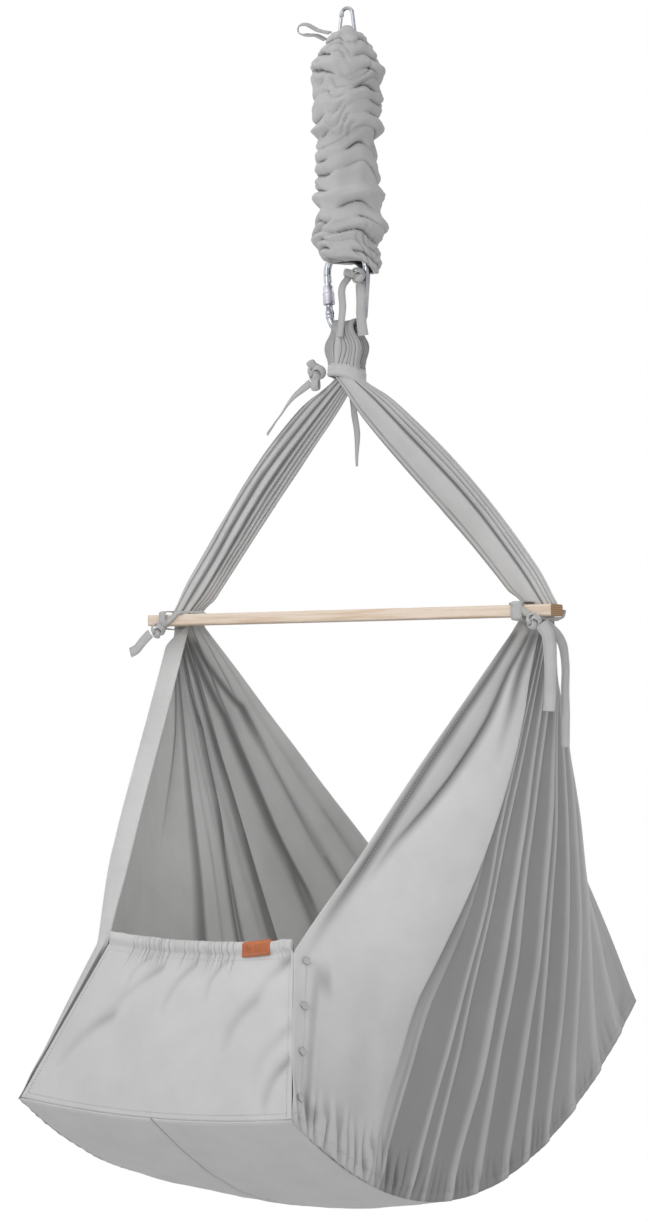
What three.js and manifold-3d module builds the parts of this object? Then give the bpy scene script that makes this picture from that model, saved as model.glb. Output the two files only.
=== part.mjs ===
// A hanging baby cradle: a snap hook, an extension spring in a ruched sleeve, a screw-lock
// carabiner, and a boat-shaped cloth bag that hangs from a wooden spreader bar.
// Millimetres, +Z up. The origin is the seat of the top hook, +X runs along the bar and
// +Y along the cradle, away from its opening front panel.
import * as THREE from 'three';
import { mergeVertices } from 'three/addons/utils/BufferGeometryUtils.js';
import Module from 'manifold-3d';

const wasm = await Module();
wasm.setup();

// Fits and walls
const gap = 0.3;
const overrun = 1;
const cloth = 2.5;
const tapeThick = 1.4;

// Top snap hook: bent wire, its narrow end up
const topHook = { rod: 5, hingeRadius: 8.5, noseRadius: 14.5, length: 70 };

// Screw-lock carabiner under the spring: its nose end up
const lowerHook = { rod: 10, hingeRadius: 27, noseRadius: 31, length: 122, seatDrop: 424 };
const lockSleeve = { start: 11, knurlLength: 16, collarLength: 9, knurlRadius: 7.8, collarRadius: 6.9, flutes: 14 };

// Extension spring with an eye fitting screwed into each end
const coil = { wire: 5, meanRadius: 17, turns: 24, stepsPerTurn: 8, sides: 5 };
const eye = { wire: 5, radius: 9, shankRadius: 3.2, shankLength: 9, flangeThick: 3, plugLength: 12 };
const strap = { width: 12, waves: 9, swing: 7 };

// Ruched sleeve over the spring
const sleeve = { topDrop: 33, bottomRise: 83, radius: 43, mouthRadius: 17.5, wall: 2.6, pitch: 24, ruche: 4.2,
  shoulder: 26, drift: 6, lobe: 18 };

// Wooden spreader bar
const bar = { length: 628, depth: 30, height: 15, edge: 2.5, drop: 802, endRoom: 38 };

// Gathered cloth: the loop, its neck and the two arms
const neck = { below: 62, halfWidth: 24, halfDepth: 12.5, bandHeight: 21, bandThick: 2.4, ease: 1.7 };
const loop = { thick: 9, seatWidth: 32, bulgeWidth: 54, pleat: 0.9, slack: 1.6 };
const arm = { startHalfWidth: 18, halfWidth: 29, halfDepth: 9, barHalfWidth: 25, pleat: 1.8, bow: 10 };

// The bundle of cloth behind the bar
const bundle = { x: bar.length / 2 - bar.endRoom, halfWidth: 27, halfDepth: 8.7 };

// The bag
const bag = { halfWidth: 200, halfLength: 424, seamDrop: 1533, seamRise: 171, tilt: 38, crownMiddle: 22, crownEnd: 12 };
const fan = { neckThick: 6, folds: 8, foldDepth: 7, hem: 3, kinkReach: 0.3 };
const frontPanel = { end: -1, rise: 184, lean: 95, pullIn: 62, belly: 14, topDip: 8, sideReturn: 20, inset: 5 };
const backPanel = { end: 1, rise: 184, lean: 86, pullIn: 45, belly: 14, topDip: 8, sideReturn: 20, inset: 5 };
const casing = { halfHeight: 6.5, halfDepth: 4, boreHalfHeight: 4.6, boreHalfDepth: 1.7, gather: 0.8, gathers: 12 };
const elastic = { halfHeight: 4.1, halfDepth: 1.1 };
const mattress = { sideRoom: 14, endRoom: 28, thick: 30, edgeThick: 9 };
const tag = { width: 40, drop: 16, thick: 1.8, x: 86 };
const snap = { radius: 5, height: 2.2, ringWidth: 1.6, dish: 0.9, backRadius: 4, backHeight: 1.2, count: 4 };
const tape = { width: 14 };

// Heights that hang on the carabiner's seat, and the pad's size inside the bag
const neckDrop = lowerHook.seatDrop + neck.below;
const sleeveBottom = lowerHook.seatDrop - sleeve.bottomRise;
const padHalfWidth = bag.halfWidth - mattress.sideRoom;
const padHalfLength = bag.halfLength - mattress.endRoom;

const finishes = {
  steel: { color: 0xb9bcc0, roughness: 0.25, metalness: 1 },
  springSteel: { color: 0x9a9ca0, roughness: 0.35, metalness: 1 },
  cotton: { color: 0xb9b9b9, roughness: 0.9, metalness: 0 },
  tape: { color: 0xb2b2b2, roughness: 0.9, metalness: 0 },
  webbing: { color: 0xd8d8d4, roughness: 0.85, metalness: 0 },
  wood: { color: 0xdfcebf, roughness: 0.55, metalness: 0 },
  leather: { color: 0xb5683a, roughness: 0.6, metalness: 0 },
  mattress: { color: 0xe9e6df, roughness: 0.95, metalness: 0 },
  elastic: { color: 0xf0efec, roughness: 0.8, metalness: 0 },
};

const model = new THREE.Group();

const vec = (x, y, z) => new THREE.Vector3(x, y, z);
const lerp = THREE.MathUtils.lerp;
const smooth = THREE.MathUtils.smoothstep;

// Adds one named piece of the cradle in its finish.
function piece(name, geometry, finish) {
  const mesh = new THREE.Mesh(geometry, new THREE.MeshStandardMaterial(finishes[finish]));
  mesh.name = name;
  model.add(mesh);
  return mesh;
}

// Turns a geometry into a solid for a boolean cut or join.
function solid(geometry) {
  const bare = geometry.clone();
  bare.deleteAttribute('normal');
  bare.deleteAttribute('uv');
  const merged = mergeVertices(bare);
  return new wasm.Manifold(new wasm.Mesh({
    numProp: 3,
    vertProperties: merged.attributes.position.array,
    triVerts: new Uint32Array(merged.index.array),
  }));
}

function geometryOf(body) {
  const mesh = body.getMesh();
  const geometry = new THREE.BufferGeometry();
  geometry.setAttribute('position', new THREE.BufferAttribute(mesh.vertProperties, 3));
  geometry.setIndex(Array.from(mesh.triVerts));
  geometry.computeVertexNormals();
  return geometry;
}

// Builds a geometry from corner points and triangles, and turns it so that its faces point out.
function closedGeometry(points, triangles) {
  let volume = 0;
  for (const [a, b, c] of triangles) {
    volume += points[a].dot(points[b].clone().cross(points[c]));
  }
  const index = triangles.flatMap(([a, b, c]) => (volume > 0 ? [a, b, c] : [a, c, b]));
  const geometry = new THREE.BufferGeometry().setFromPoints(points);
  geometry.setIndex(index);
  geometry.computeVertexNormals();
  return geometry;
}

// A cloth panel: two grids of points, front[i][j] and back[i][j], joined round their rim.
function panelSolid(front, back) {
  const rows = front.length;
  const columns = front[0].length;
  const points = [...front.flat(), ...back.flat()];
  const at = (i, j, side) => side * rows * columns + i * columns + j;
  const triangles = [];
  const quad = (a, b, c, d) => triangles.push([a, b, c], [a, c, d]);
  for (let i = 0; i < rows - 1; i += 1) {
    for (let j = 0; j < columns - 1; j += 1) {
      quad(at(i, j, 0), at(i, j + 1, 0), at(i + 1, j + 1, 0), at(i + 1, j, 0));
      quad(at(i, j, 1), at(i + 1, j, 1), at(i + 1, j + 1, 1), at(i, j + 1, 1));
    }
    quad(at(i, 0, 0), at(i + 1, 0, 0), at(i + 1, 0, 1), at(i, 0, 1));
    quad(at(i + 1, columns - 1, 0), at(i, columns - 1, 0), at(i, columns - 1, 1), at(i + 1, columns - 1, 1));
  }
  for (let j = 0; j < columns - 1; j += 1) {
    quad(at(0, j + 1, 0), at(0, j, 0), at(0, j, 1), at(0, j + 1, 1));
    quad(at(rows - 1, j, 0), at(rows - 1, j + 1, 0), at(rows - 1, j + 1, 1), at(rows - 1, j, 1));
  }
  return closedGeometry(points, triangles);
}

// A solid through rings of points: capped at both ends, or joined end to end as a loop.
function ringSolid(rings, isLoop = false) {
  const around = rings[0].length;
  const points = rings.flat();
  const triangles = [];
  const spans = isLoop ? rings.length : rings.length - 1;
  for (let i = 0; i < spans; i += 1) {
    const next = (i + 1) % rings.length;
    for (let j = 0; j < around; j += 1) {
      const k = (j + 1) % around;
      triangles.push([i * around + j, i * around + k, next * around + k]);
      triangles.push([i * around + j, next * around + k, next * around + j]);
    }
  }
  if (!isLoop) {
    const middle = (ring) => ring.reduce((sum, p) => sum.add(p), vec(0, 0, 0)).divideScalar(around);
    const first = points.push(middle(rings[0])) - 1;
    const last = points.push(middle(rings[rings.length - 1])) - 1;
    const start = (rings.length - 1) * around;
    for (let j = 0; j < around; j += 1) {
      const k = (j + 1) % around;
      triangles.push([first, k, j], [last, start + j, start + k]);
    }
  }
  return closedGeometry(points, triangles);
}

// A sleeve between an outer and an inner stack of rings, open at both ends.
function tubeSolid(outer, inner) {
  const loopRings = outer[0].map((_, j) => [
    ...outer.map((ring) => ring[j]),
    ...inner.map((ring) => ring[j]).reverse(),
  ]);
  return ringSolid(loopRings, true);
}

// A ring of points round a centre, from a section's [across, deep] pairs and two directions.
function placeRing(section, centre, across, deep) {
  return section.map(([p, q]) => centre.clone().addScaledVector(across, p).addScaledVector(deep, q));
}

// An oval section; every other point is drawn in by the pleat's depth.
function pleatedSection(halfWidth, halfDepth, pleat, count) {
  return Array.from({ length: count }, (_, j) => {
    const angle = (2 * Math.PI * j) / count;
    const across = halfWidth * Math.cos(angle);
    const deep = halfDepth * Math.sin(angle);
    return [across, deep - (j % 2 ? pleat : 0) * Math.sign(deep)];
  });
}

// A flat tape along a hand-chosen route: each row holds x, y, z and the face's direction.
function tapeSolid(rows, width, thick, steps, isLoop = false) {
  const route = new THREE.CatmullRomCurve3(rows.map((row) => vec(...row[0])), isLoop, 'centripetal');
  const facing = new THREE.CatmullRomCurve3(rows.map((row) => vec(...row[1])), isLoop, 'centripetal');
  const count = isLoop ? steps : steps + 1;
  const half = [width / 2, thick / 2];
  const section = [[-half[0], -half[1]], [half[0], -half[1]], [half[0], half[1]], [-half[0], half[1]]];
  const rings = Array.from({ length: count }, (_, i) => {
    const share = i / steps;
    const along = route.getTangent(share).normalize();
    const face = facing.getPoint(share);
    face.addScaledVector(along, -face.dot(along)).normalize();
    return placeRing(section, route.getPoint(share), along.clone().cross(face), face);
  });
  return ringSolid(rings, isLoop);
}

// A tape's hand-chosen route, counted from the place that carries it.
function routeFrom(anchor, rows) {
  return rows.map(([[x, y, z], face]) => [[anchor.x + x, anchor.y + y, anchor.z + z], face]);
}

// A small overhand knot, drawn as one tube that winds twice round.
function knotSolid(size, centre) {
  const tubeShare = 0.36;
  const steps = 22;
  const sides = 5;
  const knot = new THREE.TorusKnotGeometry(size, size * tubeShare, steps, sides, 2, 3).rotateX(Math.PI / 2);
  knot.deleteAttribute('normal');
  knot.deleteAttribute('uv');
  const merged = mergeVertices(knot);
  merged.translate(centre.x, centre.y, centre.z);
  merged.computeVertexNormals();
  return merged;
}

// Hooks. Both are drawn in a plane: x across, y from the hinge's end to the nose's end,
// with the gate on the -x side.
function hookShape(spec) {
  const { rod, hingeRadius, noseRadius, length } = spec;
  const distance = length - hingeRadius - noseRadius - rod;
  const spread = Math.asin((noseRadius - hingeRadius) / distance);
  const side = vec(-Math.cos(spread), -Math.sin(spread), 0);
  const along = vec(-Math.sin(spread), Math.cos(spread), 0);
  const noseCentre = vec(0, distance, 0);
  const pivot = side.clone().multiplyScalar(hingeRadius).addScaledVector(along, 0.3 * rod);
  const shoulder = noseCentre.clone().addScaledVector(side, noseRadius).addScaledVector(along, -0.1 * rod);
  return { distance, spread, side, along, noseCentre, pivot, shoulder };
}

function arcPoints(centre, radius, from, to, count) {
  return Array.from({ length: count }, (_, i) => {
    const angle = lerp(from, to, i / (count - 1));
    return vec(centre.x + radius * Math.cos(angle), centre.y + radius * Math.sin(angle), 0);
  });
}

// A cylinder between two points of the hook's plane.
function rodBetween(from, to, radius, sides) {
  const direction = to.clone().sub(from);
  const geometry = new THREE.CylinderGeometry(radius, radius, direction.length(), sides);
  geometry.applyQuaternion(new THREE.Quaternion().setFromUnitVectors(vec(0, 1, 0), direction.clone().normalize()));
  const middle = from.clone().add(to).multiplyScalar(0.5);
  geometry.translate(middle.x, middle.y, middle.z);
  return geometry;
}

// A box in the hook's plane: centred on a point, its y side along the gate.
function boxAlong(centre, along, size) {
  const geometry = new THREE.BoxGeometry(size.x, size.y, size.z);
  geometry.applyQuaternion(new THREE.Quaternion().setFromUnitVectors(vec(0, 1, 0), along));
  geometry.translate(centre.x, centre.y, centre.z);
  return geometry;
}

// The body, gate and rivet of a hook, in its own plane.
function hookPieces(spec) {
  const { rod, hingeRadius, noseRadius } = spec;
  const shape = hookShape(spec);
  const { spread, along, noseCentre, pivot, shoulder } = shape;
  const half = rod / 2;
  const tongue = 0.4 * rod;
  const slot = tongue + 2 * gap;
  const earReach = 0.5 * rod;
  const slotReach = 0.8 * rod;
  const gateStart = 0.75 * rod;
  const noseTongue = 0.8 * rod;
  const pin = 0.22 * rod;
  const pinSides = 12;
  const hole = (pin + gap / 2) / Math.cos(Math.PI / pinSides);
  const wide = 2 * rod;

  const centreline = [
    pivot.clone().addScaledVector(along, earReach),
    ...arcPoints(vec(0, 0, 0), hingeRadius, Math.PI + spread, 2 * Math.PI - spread, 9),
    ...arcPoints(noseCentre, noseRadius, -spread, Math.PI + spread, 11),
    shoulder.clone().addScaledVector(along, -noseTongue),
  ];
  const path = new THREE.CatmullRomCurve3(centreline, false, 'centripetal');
  const sides = 8;
  const round = new THREE.Shape(Array.from({ length: sides }, (_, i) => {
    const angle = (2 * Math.PI * i) / sides;
    return new THREE.Vector2(half * Math.cos(angle), half * Math.sin(angle));
  }));
  const wire = solid(new THREE.ExtrudeGeometry(round, { steps: 30, bevelEnabled: false, extrudePath: path }));

  const pinCut = new THREE.CylinderGeometry(hole, hole, wide, pinSides).rotateX(Math.PI / 2);
  pinCut.translate(pivot.x, pivot.y, 0);
  const clevisCentre = pivot.clone().addScaledVector(along, (earReach + overrun - slotReach) / 2);
  const clevis = boxAlong(clevisCentre, along, vec(wide, earReach + overrun + slotReach, slot));
  const cheekCentre = shoulder.clone().addScaledVector(along, -noseTongue / 2 - overrun / 2);
  const cheeks = [1, -1].map((sign) => boxAlong(
    cheekCentre.clone().add(vec(0, 0, (sign * (tongue + rod)) / 2)),
    along,
    vec(wide, noseTongue + overrun, rod),
  ));
  let body = wire.subtract(solid(clevis)).subtract(solid(pinCut));
  for (const cheek of cheeks) body = body.subtract(solid(cheek));

  const gateLength = shoulder.clone().sub(pivot).dot(along) - 2 * gap;
  const gateTop = pivot.clone().addScaledVector(along, gateLength);
  const gateFoot = pivot.clone().addScaledVector(along, -earReach);
  let gate = solid(rodBetween(gateFoot, gateTop, half * 0.92, 12));
  const footCentre = pivot.clone().addScaledVector(along, (gateStart - earReach - overrun) / 2);
  for (const sign of [1, -1]) {
    const cheek = boxAlong(
      footCentre.clone().add(vec(0, 0, (sign * (tongue + rod)) / 2)),
      along,
      vec(wide, gateStart + earReach + overrun, rod),
    );
    gate = gate.subtract(solid(cheek));
  }
  const mouthCentre = gateTop.clone().addScaledVector(along, (overrun - noseTongue) / 2);
  const mouth = boxAlong(mouthCentre, along, vec(wide, noseTongue + overrun, slot));
  gate = gate.subtract(solid(mouth)).subtract(solid(pinCut));

  const headStart = half + gap;
  const headEnd = headStart + 0.12 * rod;
  const head = 1.6 * pin;
  const rivetProfile = [
    [0, -headEnd], [head * 0.7, -headEnd], [head, -headStart], [pin, -headStart],
    [pin, headStart], [head, headStart], [head * 0.7, headEnd], [0, headEnd],
  ].map(([r, y]) => new THREE.Vector2(r, y));
  const rivet = new THREE.LatheGeometry(rivetProfile, pinSides).rotateX(Math.PI / 2);
  rivet.translate(pivot.x, pivot.y, 0);
  return { body: geometryOf(body), gate: geometryOf(gate), rivet, shape };
}

// Stands a hook's plane up in the world's XZ plane, hinge end up or down.
function standHook(geometry, hingeZ, isHingeUp) {
  const up = isHingeUp ? vec(0, 0, -1) : vec(0, 0, 1);
  const basis = new THREE.Matrix4().makeBasis(vec(1, 0, 0), up, vec(1, 0, 0).cross(up));
  geometry.applyMatrix4(basis);
  geometry.translate(0, 0, hingeZ);
  return geometry;
}

// Top hook. Its inner apex is the origin, where the ceiling fitting bears.
const topHookZ = topHook.rod / 2 - topHook.hingeRadius;
const top = hookPieces(topHook);
piece('top_hook', standHook(top.body, topHookZ, true), 'steel');
piece('top_hook_gate', standHook(top.gate, topHookZ, true), 'steel');
piece('top_hook_rivet', standHook(top.rivet, topHookZ, true), 'steel');

// Lower carabiner, hanging in the spring's lower eye.
const lowerHookZ = -lowerHook.seatDrop - lowerHook.rod / 2 + lowerHook.hingeRadius;
const lower = hookPieces(lowerHook);
piece('carabiner', standHook(lower.body, lowerHookZ, false), 'steel');
piece('carabiner_gate', standHook(lower.gate, lowerHookZ, false), 'steel');
piece('carabiner_rivet', standHook(lower.rivet, lowerHookZ, false), 'steel');

// Lock sleeve: a knurled ring with a smooth collar, round the carabiner's gate.
function lockSleeveSolid() {
  const bore = (lowerHook.rod / 2 + gap) / Math.cos(Math.PI / 12);
  const ring = (outline, length) => {
    const shape = new THREE.Shape(outline);
    shape.holes.push(new THREE.Path(roundOutline(bore, 12).reverse()));
    return new THREE.ExtrudeGeometry(shape, { depth: length, steps: 1, bevelEnabled: false });
  };
  const knurl = Array.from({ length: 2 * lockSleeve.flutes }, (_, i) => {
    const angle = (Math.PI * i) / lockSleeve.flutes;
    const radius = lockSleeve.knurlRadius * (i % 2 ? 1 : 0.94);
    return new THREE.Vector2(radius * Math.cos(angle), radius * Math.sin(angle));
  });
  const knurled = ring(knurl, lockSleeve.knurlLength);
  const collar = ring(roundOutline(lockSleeve.collarRadius, 24), lockSleeve.collarLength + overrun);
  collar.translate(0, 0, lockSleeve.knurlLength - overrun);
  const sleeveBody = geometryOf(solid(knurled).add(solid(collar)));
  sleeveBody.rotateX(-Math.PI / 2);
  const { pivot, along } = lower.shape;
  sleeveBody.applyQuaternion(new THREE.Quaternion().setFromUnitVectors(vec(0, 1, 0), along));
  const start = pivot.clone().addScaledVector(along, lockSleeve.start);
  sleeveBody.translate(start.x, start.y, 0);
  return standHook(sleeveBody, lowerHookZ, false);
}

function roundOutline(radius, count) {
  return Array.from({ length: count }, (_, i) => {
    const angle = (2 * Math.PI * i) / count;
    return new THREE.Vector2(radius * Math.cos(angle), radius * Math.sin(angle));
  });
}

piece('lock_sleeve', lockSleeveSolid(), 'steel');

// Spring: an eye fitting at each end, the coil between their flanges.
const upperEyeZ = topHookZ - hookShape(topHook).distance - topHook.noseRadius
  + topHook.rod / 2 + gap + eye.wire / 2 - eye.radius;
const lowerEyeZ = lowerHookZ + hookShape(lowerHook).distance + lowerHook.noseRadius
  - lowerHook.rod / 2 - gap - eye.wire / 2 + eye.radius;
const eyeReach = eye.radius + eye.shankLength + eye.flangeThick;
const coilTop = upperEyeZ - eyeReach - gap;
const coilBottom = lowerEyeZ + eyeReach + gap;
const coilPitch = (coilTop - coilBottom - coil.wire) / coil.turns;

// An eye with its shank, flange and plug, the plug towards +Y before it is placed.
function eyeFitting(z, sign) {
  const outer = coil.meanRadius + coil.wire / 2;
  const plug = (coil.meanRadius - coil.wire / 2) * Math.cos(Math.PI / coil.stepsPerTurn) - gap;
  const flangeStart = eye.radius + eye.shankLength;
  const flangeEnd = flangeStart + eye.flangeThick;
  const profile = [
    [0, eye.radius], [eye.shankRadius, eye.radius], [eye.shankRadius, flangeStart], [outer, flangeStart],
    [outer, flangeEnd], [plug, flangeEnd], [plug, flangeEnd + eye.plugLength], [0, flangeEnd + eye.plugLength],
  ].map(([r, y]) => new THREE.Vector2(r, y));
  const stem = new THREE.LatheGeometry(profile, 14);
  const ring = new THREE.TorusGeometry(eye.radius, eye.wire / 2, 8, 16);
  const fitting = geometryOf(solid(stem).add(solid(ring)));
  fitting.rotateX((sign * Math.PI) / 2);
  fitting.rotateZ(Math.PI / 2);
  fitting.translate(0, 0, z);
  return fitting;
}

piece('spring_upper_eye', eyeFitting(upperEyeZ, -1), 'steel');
piece('spring_lower_eye', eyeFitting(lowerEyeZ, 1), 'steel');

// The coil is one unbroken tube.
function coilSolid() {
  const { stepsPerTurn, sides } = coil;
  const start = coilTop - coil.wire / 2;
  const path = (turn) => vec(
    coil.meanRadius * Math.cos(2 * Math.PI * turn),
    coil.meanRadius * Math.sin(2 * Math.PI * turn),
    start - coilPitch * turn,
  );
  const rings = Array.from({ length: coil.turns * stepsPerTurn + 1 }, (_, i) => {
    const turn = i / stepsPerTurn;
    const outward = vec(Math.cos(2 * Math.PI * turn), Math.sin(2 * Math.PI * turn), 0);
    const section = roundOutline(coil.wire / 2, sides).map((p) => [p.x, p.y]);
    return placeRing(section, path(turn), outward, vec(0, 0, 1));
  });
  let least = Infinity;
  for (let i = 0; i < rings.length; i += 1) {
    for (let j = i + stepsPerTurn / 2; j < rings.length; j += 1) {
      const apart = path(i / stepsPerTurn).distanceTo(path(j / stepsPerTurn)) - coil.wire;
      least = Math.min(least, apart);
    }
  }
  console.log(`least gap between the coil's turns: ${least.toFixed(2)} mm`);
  return ringSolid(rings);
}

piece('coil_spring', coilSolid(), 'springSteel');

// Safety strap: slack webbing folded to and fro inside the coil, from plug to plug.
function strapSolid() {
  const from = coilTop - eye.plugLength - gap * 2;
  const to = coilBottom + eye.plugLength + gap * 2;
  const count = strap.waves * 4;
  const section = [
    [-strap.width / 2, -tapeThick / 2], [strap.width / 2, -tapeThick / 2],
    [strap.width / 2, tapeThick / 2], [-strap.width / 2, tapeThick / 2],
  ];
  const place = (share) => vec(strap.swing * Math.sin(2 * Math.PI * strap.waves * share), 0, lerp(from, to, share));
  const rings = Array.from({ length: count + 1 }, (_, i) => {
    const share = i / count;
    const isEnd = i === 0 || i === count;
    const step = 0.25 / count;
    const along = isEnd ? vec(0, 0, -1) : place(share + step).sub(place(share - step)).normalize();
    return placeRing(section, place(share), vec(0, 1, 0), along.clone().cross(vec(0, 1, 0)));
  });
  return ringSolid(rings);
}

piece('safety_strap', strapSolid(), 'webbing');

// Ruched sleeve: a cloth tube pushed up into irregular folds, closed round the hook at its top.
function sleeveRadius(angle, drop) {
  const length = sleeveBottom - sleeve.topDrop;
  const depth = drop - sleeve.topDrop;
  const open = Math.sqrt(smooth(depth, -sleeve.shoulder * 0.1, sleeve.shoulder));
  const fold = Math.sin(2 * Math.PI * (depth / sleeve.pitch + 0.14 * Math.sin(angle + 1.2)));
  const cross = 0.35 * Math.sin(2 * angle + depth / (0.7 * sleeve.pitch));
  const calm = 1 - 0.6 * smooth(depth, length - sleeve.pitch, length);
  const body = lerp(sleeve.mouthRadius, sleeve.radius, open);
  return body + sleeve.ruche * (fold + cross) * open * calm;
}

function sleeveRings(inset, stations, around) {
  return Array.from({ length: stations + 1 }, (_, i) => Array.from({ length: around }, (_unused, j) => {
    const share = i / stations;
    const angle = (2 * Math.PI * j) / around;
    const hang = sleeve.lobe * Math.max(0, Math.cos(angle - 0.3)) ** 3 * share ** 6;
    const drop = lerp(sleeve.topDrop, sleeveBottom, share) + hang;
    const radius = sleeveRadius(angle, lerp(sleeve.topDrop, sleeveBottom, share)) - inset;
    const shift = sleeve.drift * smooth(share, 0.5, 1);
    return vec(shift * 0.5 + radius * Math.cos(angle), radius * Math.sin(angle), -drop);
  }));
}

piece('spring_sleeve', tubeSolid(sleeveRings(0, 30, 16), sleeveRings(sleeve.wall, 30, 16)), 'cotton');

// Tape loop at the sleeve's top, and the drawn tapes at its bottom.
const frontFace = [0, -1, 0];
piece('sleeve_top_tie', tapeSolid(routeFrom(vec(0, 0, -sleeve.topDrop), [
  [[-23, -6, 4], [0, -0.6, 1]],
  [[-42, -6, 10], [0.3, -0.6, 1]],
  [[-60, -6, 20], [0.3, -0.6, 1]],
  [[-72, -6, 20], [-0.7, -0.6, 0.6]],
  [[-73, -6, 11], [-1, -0.4, -0.5]],
  [[-60, -6, 6], [0.1, 0.6, -1]],
  [[-44, -6, 3], [-0.1, 0.6, -1]],
  [[-30, -6, -4], [-0.4, 0.6, -1]],
]), tape.width * 0.6, tapeThick * 0.8, 24), 'tape');

const rodFront = vec(0, -lowerHook.rod / 2, -lowerHook.seatDrop);
piece('sleeve_knot', knotSolid(6.5, rodFront.clone().add(vec(24, -5.6, 68))), 'tape');
piece('sleeve_tape_left', tapeSolid(routeFrom(rodFront, [
  [[10.1, -5.6, 67], frontFace],
  [[5, -15, 50], frontFace],
  [[6, -15, 24], frontFace],
  [[2, -16, -13], [-0.2, -1, 0]],
]), tape.width * 0.75, tapeThick, 8), 'tape');
piece('sleeve_tape_right', tapeSolid(routeFrom(rodFront, [
  [[28, -6.6, 57.5], frontFace],
  [[33, -13, 39], frontFace],
  [[35, -15, 14], frontFace],
  [[39, -16, -14], [0.2, -1, 0]],
]), tape.width, tapeThick, 8), 'tape');

// Hanging loop: pleated cloth that passes over the carabiner's rod, front leg and back leg.
function loopSolid() {
  const seat = lowerHook.rod / 2 + gap;
  const rodZ = -lowerHook.seatDrop - lowerHook.rod / 2;
  const middle = seat + loop.thick / 2;
  const straddle = middle + loop.slack;
  const legs = neck.halfDepth / 2 + gap / 2;
  const legLength = rodZ + neckDrop;
  const stations = [];
  const legSteps = 5;
  for (let i = 0; i < legSteps; i += 1) {
    const share = i / legSteps;
    const y = lerp(legs, straddle, smooth(share, 0, 1));
    stations.push({ y: -y, z: -neckDrop + legLength * share, share, angle: Math.PI / 2 });
  }
  const arcSteps = 8;
  for (let i = 0; i <= arcSteps; i += 1) {
    const angle = (Math.PI * i) / arcSteps;
    const y = -straddle * Math.cos(angle);
    stations.push({ y, z: rodZ + middle * Math.sin(angle), share: 1, angle: Math.PI / 2 - angle });
  }
  for (let i = legSteps - 1; i >= 0; i -= 1) {
    const front = stations[i];
    stations.push({ ...front, y: -front.y, angle: -Math.PI / 2 });
  }
  const seatCurve = lowerHook.hingeRadius - lowerHook.rod / 2;
  const rings = stations.map(({ y, z, share, angle }) => {
    const bulge = Math.sin(Math.PI * smooth(share, 0.12, 1)) ** 2;
    const width = lerp(lerp(2 * neck.halfWidth, loop.seatWidth, smooth(share, 0.6, 1)), loop.bulgeWidth, bulge);
    const thick = lerp(neck.halfDepth - gap, loop.thick, smooth(share, 0, 0.6));
    const section = pleatedSection(width / 2, thick / 2, loop.pleat * share, 18);
    const outward = vec(0, -Math.sin(angle), Math.cos(angle));
    return placeRing(section, vec(0, y, z), vec(1, 0, 0), outward).map((p) => {
      const across = Math.min(Math.abs(p.x), loop.seatWidth / 2);
      const rise = seatCurve - Math.sqrt(seatCurve ** 2 - across ** 2);
      return p.add(vec(0, 0, rise * share ** 2));
    });
  });
  return ringSolid(rings);
}

piece('hanging_loop', loopSolid(), 'cotton');

// Sewn binding round the neck, half over the loop's legs and half over the arms.
function bindingSolid() {
  const levels = [-0.29, 0, 0.35, 0.7];
  const squareness = 0.62;
  const rounded = (value) => Math.sign(value) * Math.abs(value) ** squareness;
  const rings = (grow) => levels.map((level) => Array.from({ length: 20 }, (_, j) => {
    const angle = (2 * Math.PI * j) / 20;
    const flare = 1 + Math.max(0, -level);
    return vec(
      (neck.halfWidth * flare + neck.ease + grow) * rounded(Math.cos(angle)),
      (neck.halfDepth * flare + neck.ease + grow) * rounded(Math.sin(angle)),
      -neckDrop + level * neck.bandHeight,
    );
  }));
  return tubeSolid(rings(neck.bandThick), rings(0));
}

piece('neck_binding', bindingSolid(), 'cotton');

// Arms: lens-shaped pleated cloth from the neck to the back of the bar.
const bundleY = bar.depth / 2 + gap + bundle.halfDepth;
const barTop = -bar.drop + bar.height / 2;
const barUnder = -bar.drop - bar.height / 2;

function armSolid(side) {
  const start = vec(side * 3, -side * (neck.halfDepth / 2 + gap), -neckDrop - gap);
  const endHigh = vec(side * bundle.x, bundleY, barTop + 3);
  const end = vec(side * bundle.x, bundleY, -bar.drop + gap / 2);
  const count = 20;
  const steps = 12;
  const direction = endHigh.clone().sub(start).normalize();
  const across = vec(side * -direction.z, 0, side * direction.x).normalize().multiplyScalar(1);
  const rings = [];
  for (let i = 0; i <= steps; i += 1) {
    const share = i / steps;
    const bow = arm.bow * Math.sin(Math.PI * share);
    const centre = start.clone().lerp(endHigh, share);
    centre.x += side * bow * 0.7;
    centre.z += bow * 0.7;
    centre.y = lerp(start.y, bundleY, smooth(share, 0.1, 0.95));
    const level = Math.min(smooth(share, 0, 0.22), 1 - smooth(share, 0.86, 1));
    const halfWidth = lerp(lerp(arm.startHalfWidth, arm.barHalfWidth, share), arm.halfWidth, Math.sin(Math.PI * share));
    const halfDepth = lerp(lerp(neck.halfDepth / 2 - gap, bundle.halfDepth, share), arm.halfDepth, Math.sin(Math.PI * share));
    const turned = vec(1, 0, 0).lerp(across.clone().multiplyScalar(side), level).normalize();
    const pleat = arm.pleat * Math.sin(Math.PI * share);
    rings.push(placeRing(pleatedSection(halfWidth, halfDepth, pleat, count), centre, turned, vec(0, 1, 0)));
  }
  const last = pleatedSection(arm.barHalfWidth, bundle.halfDepth, 0, count);
  rings.push(placeRing(last, end, vec(1, 0, 0), vec(0, 1, 0)));
  return ringSolid(rings);
}

piece('left_arm', armSolid(-1), 'cotton');
piece('right_arm', armSolid(1), 'cotton');

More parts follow.
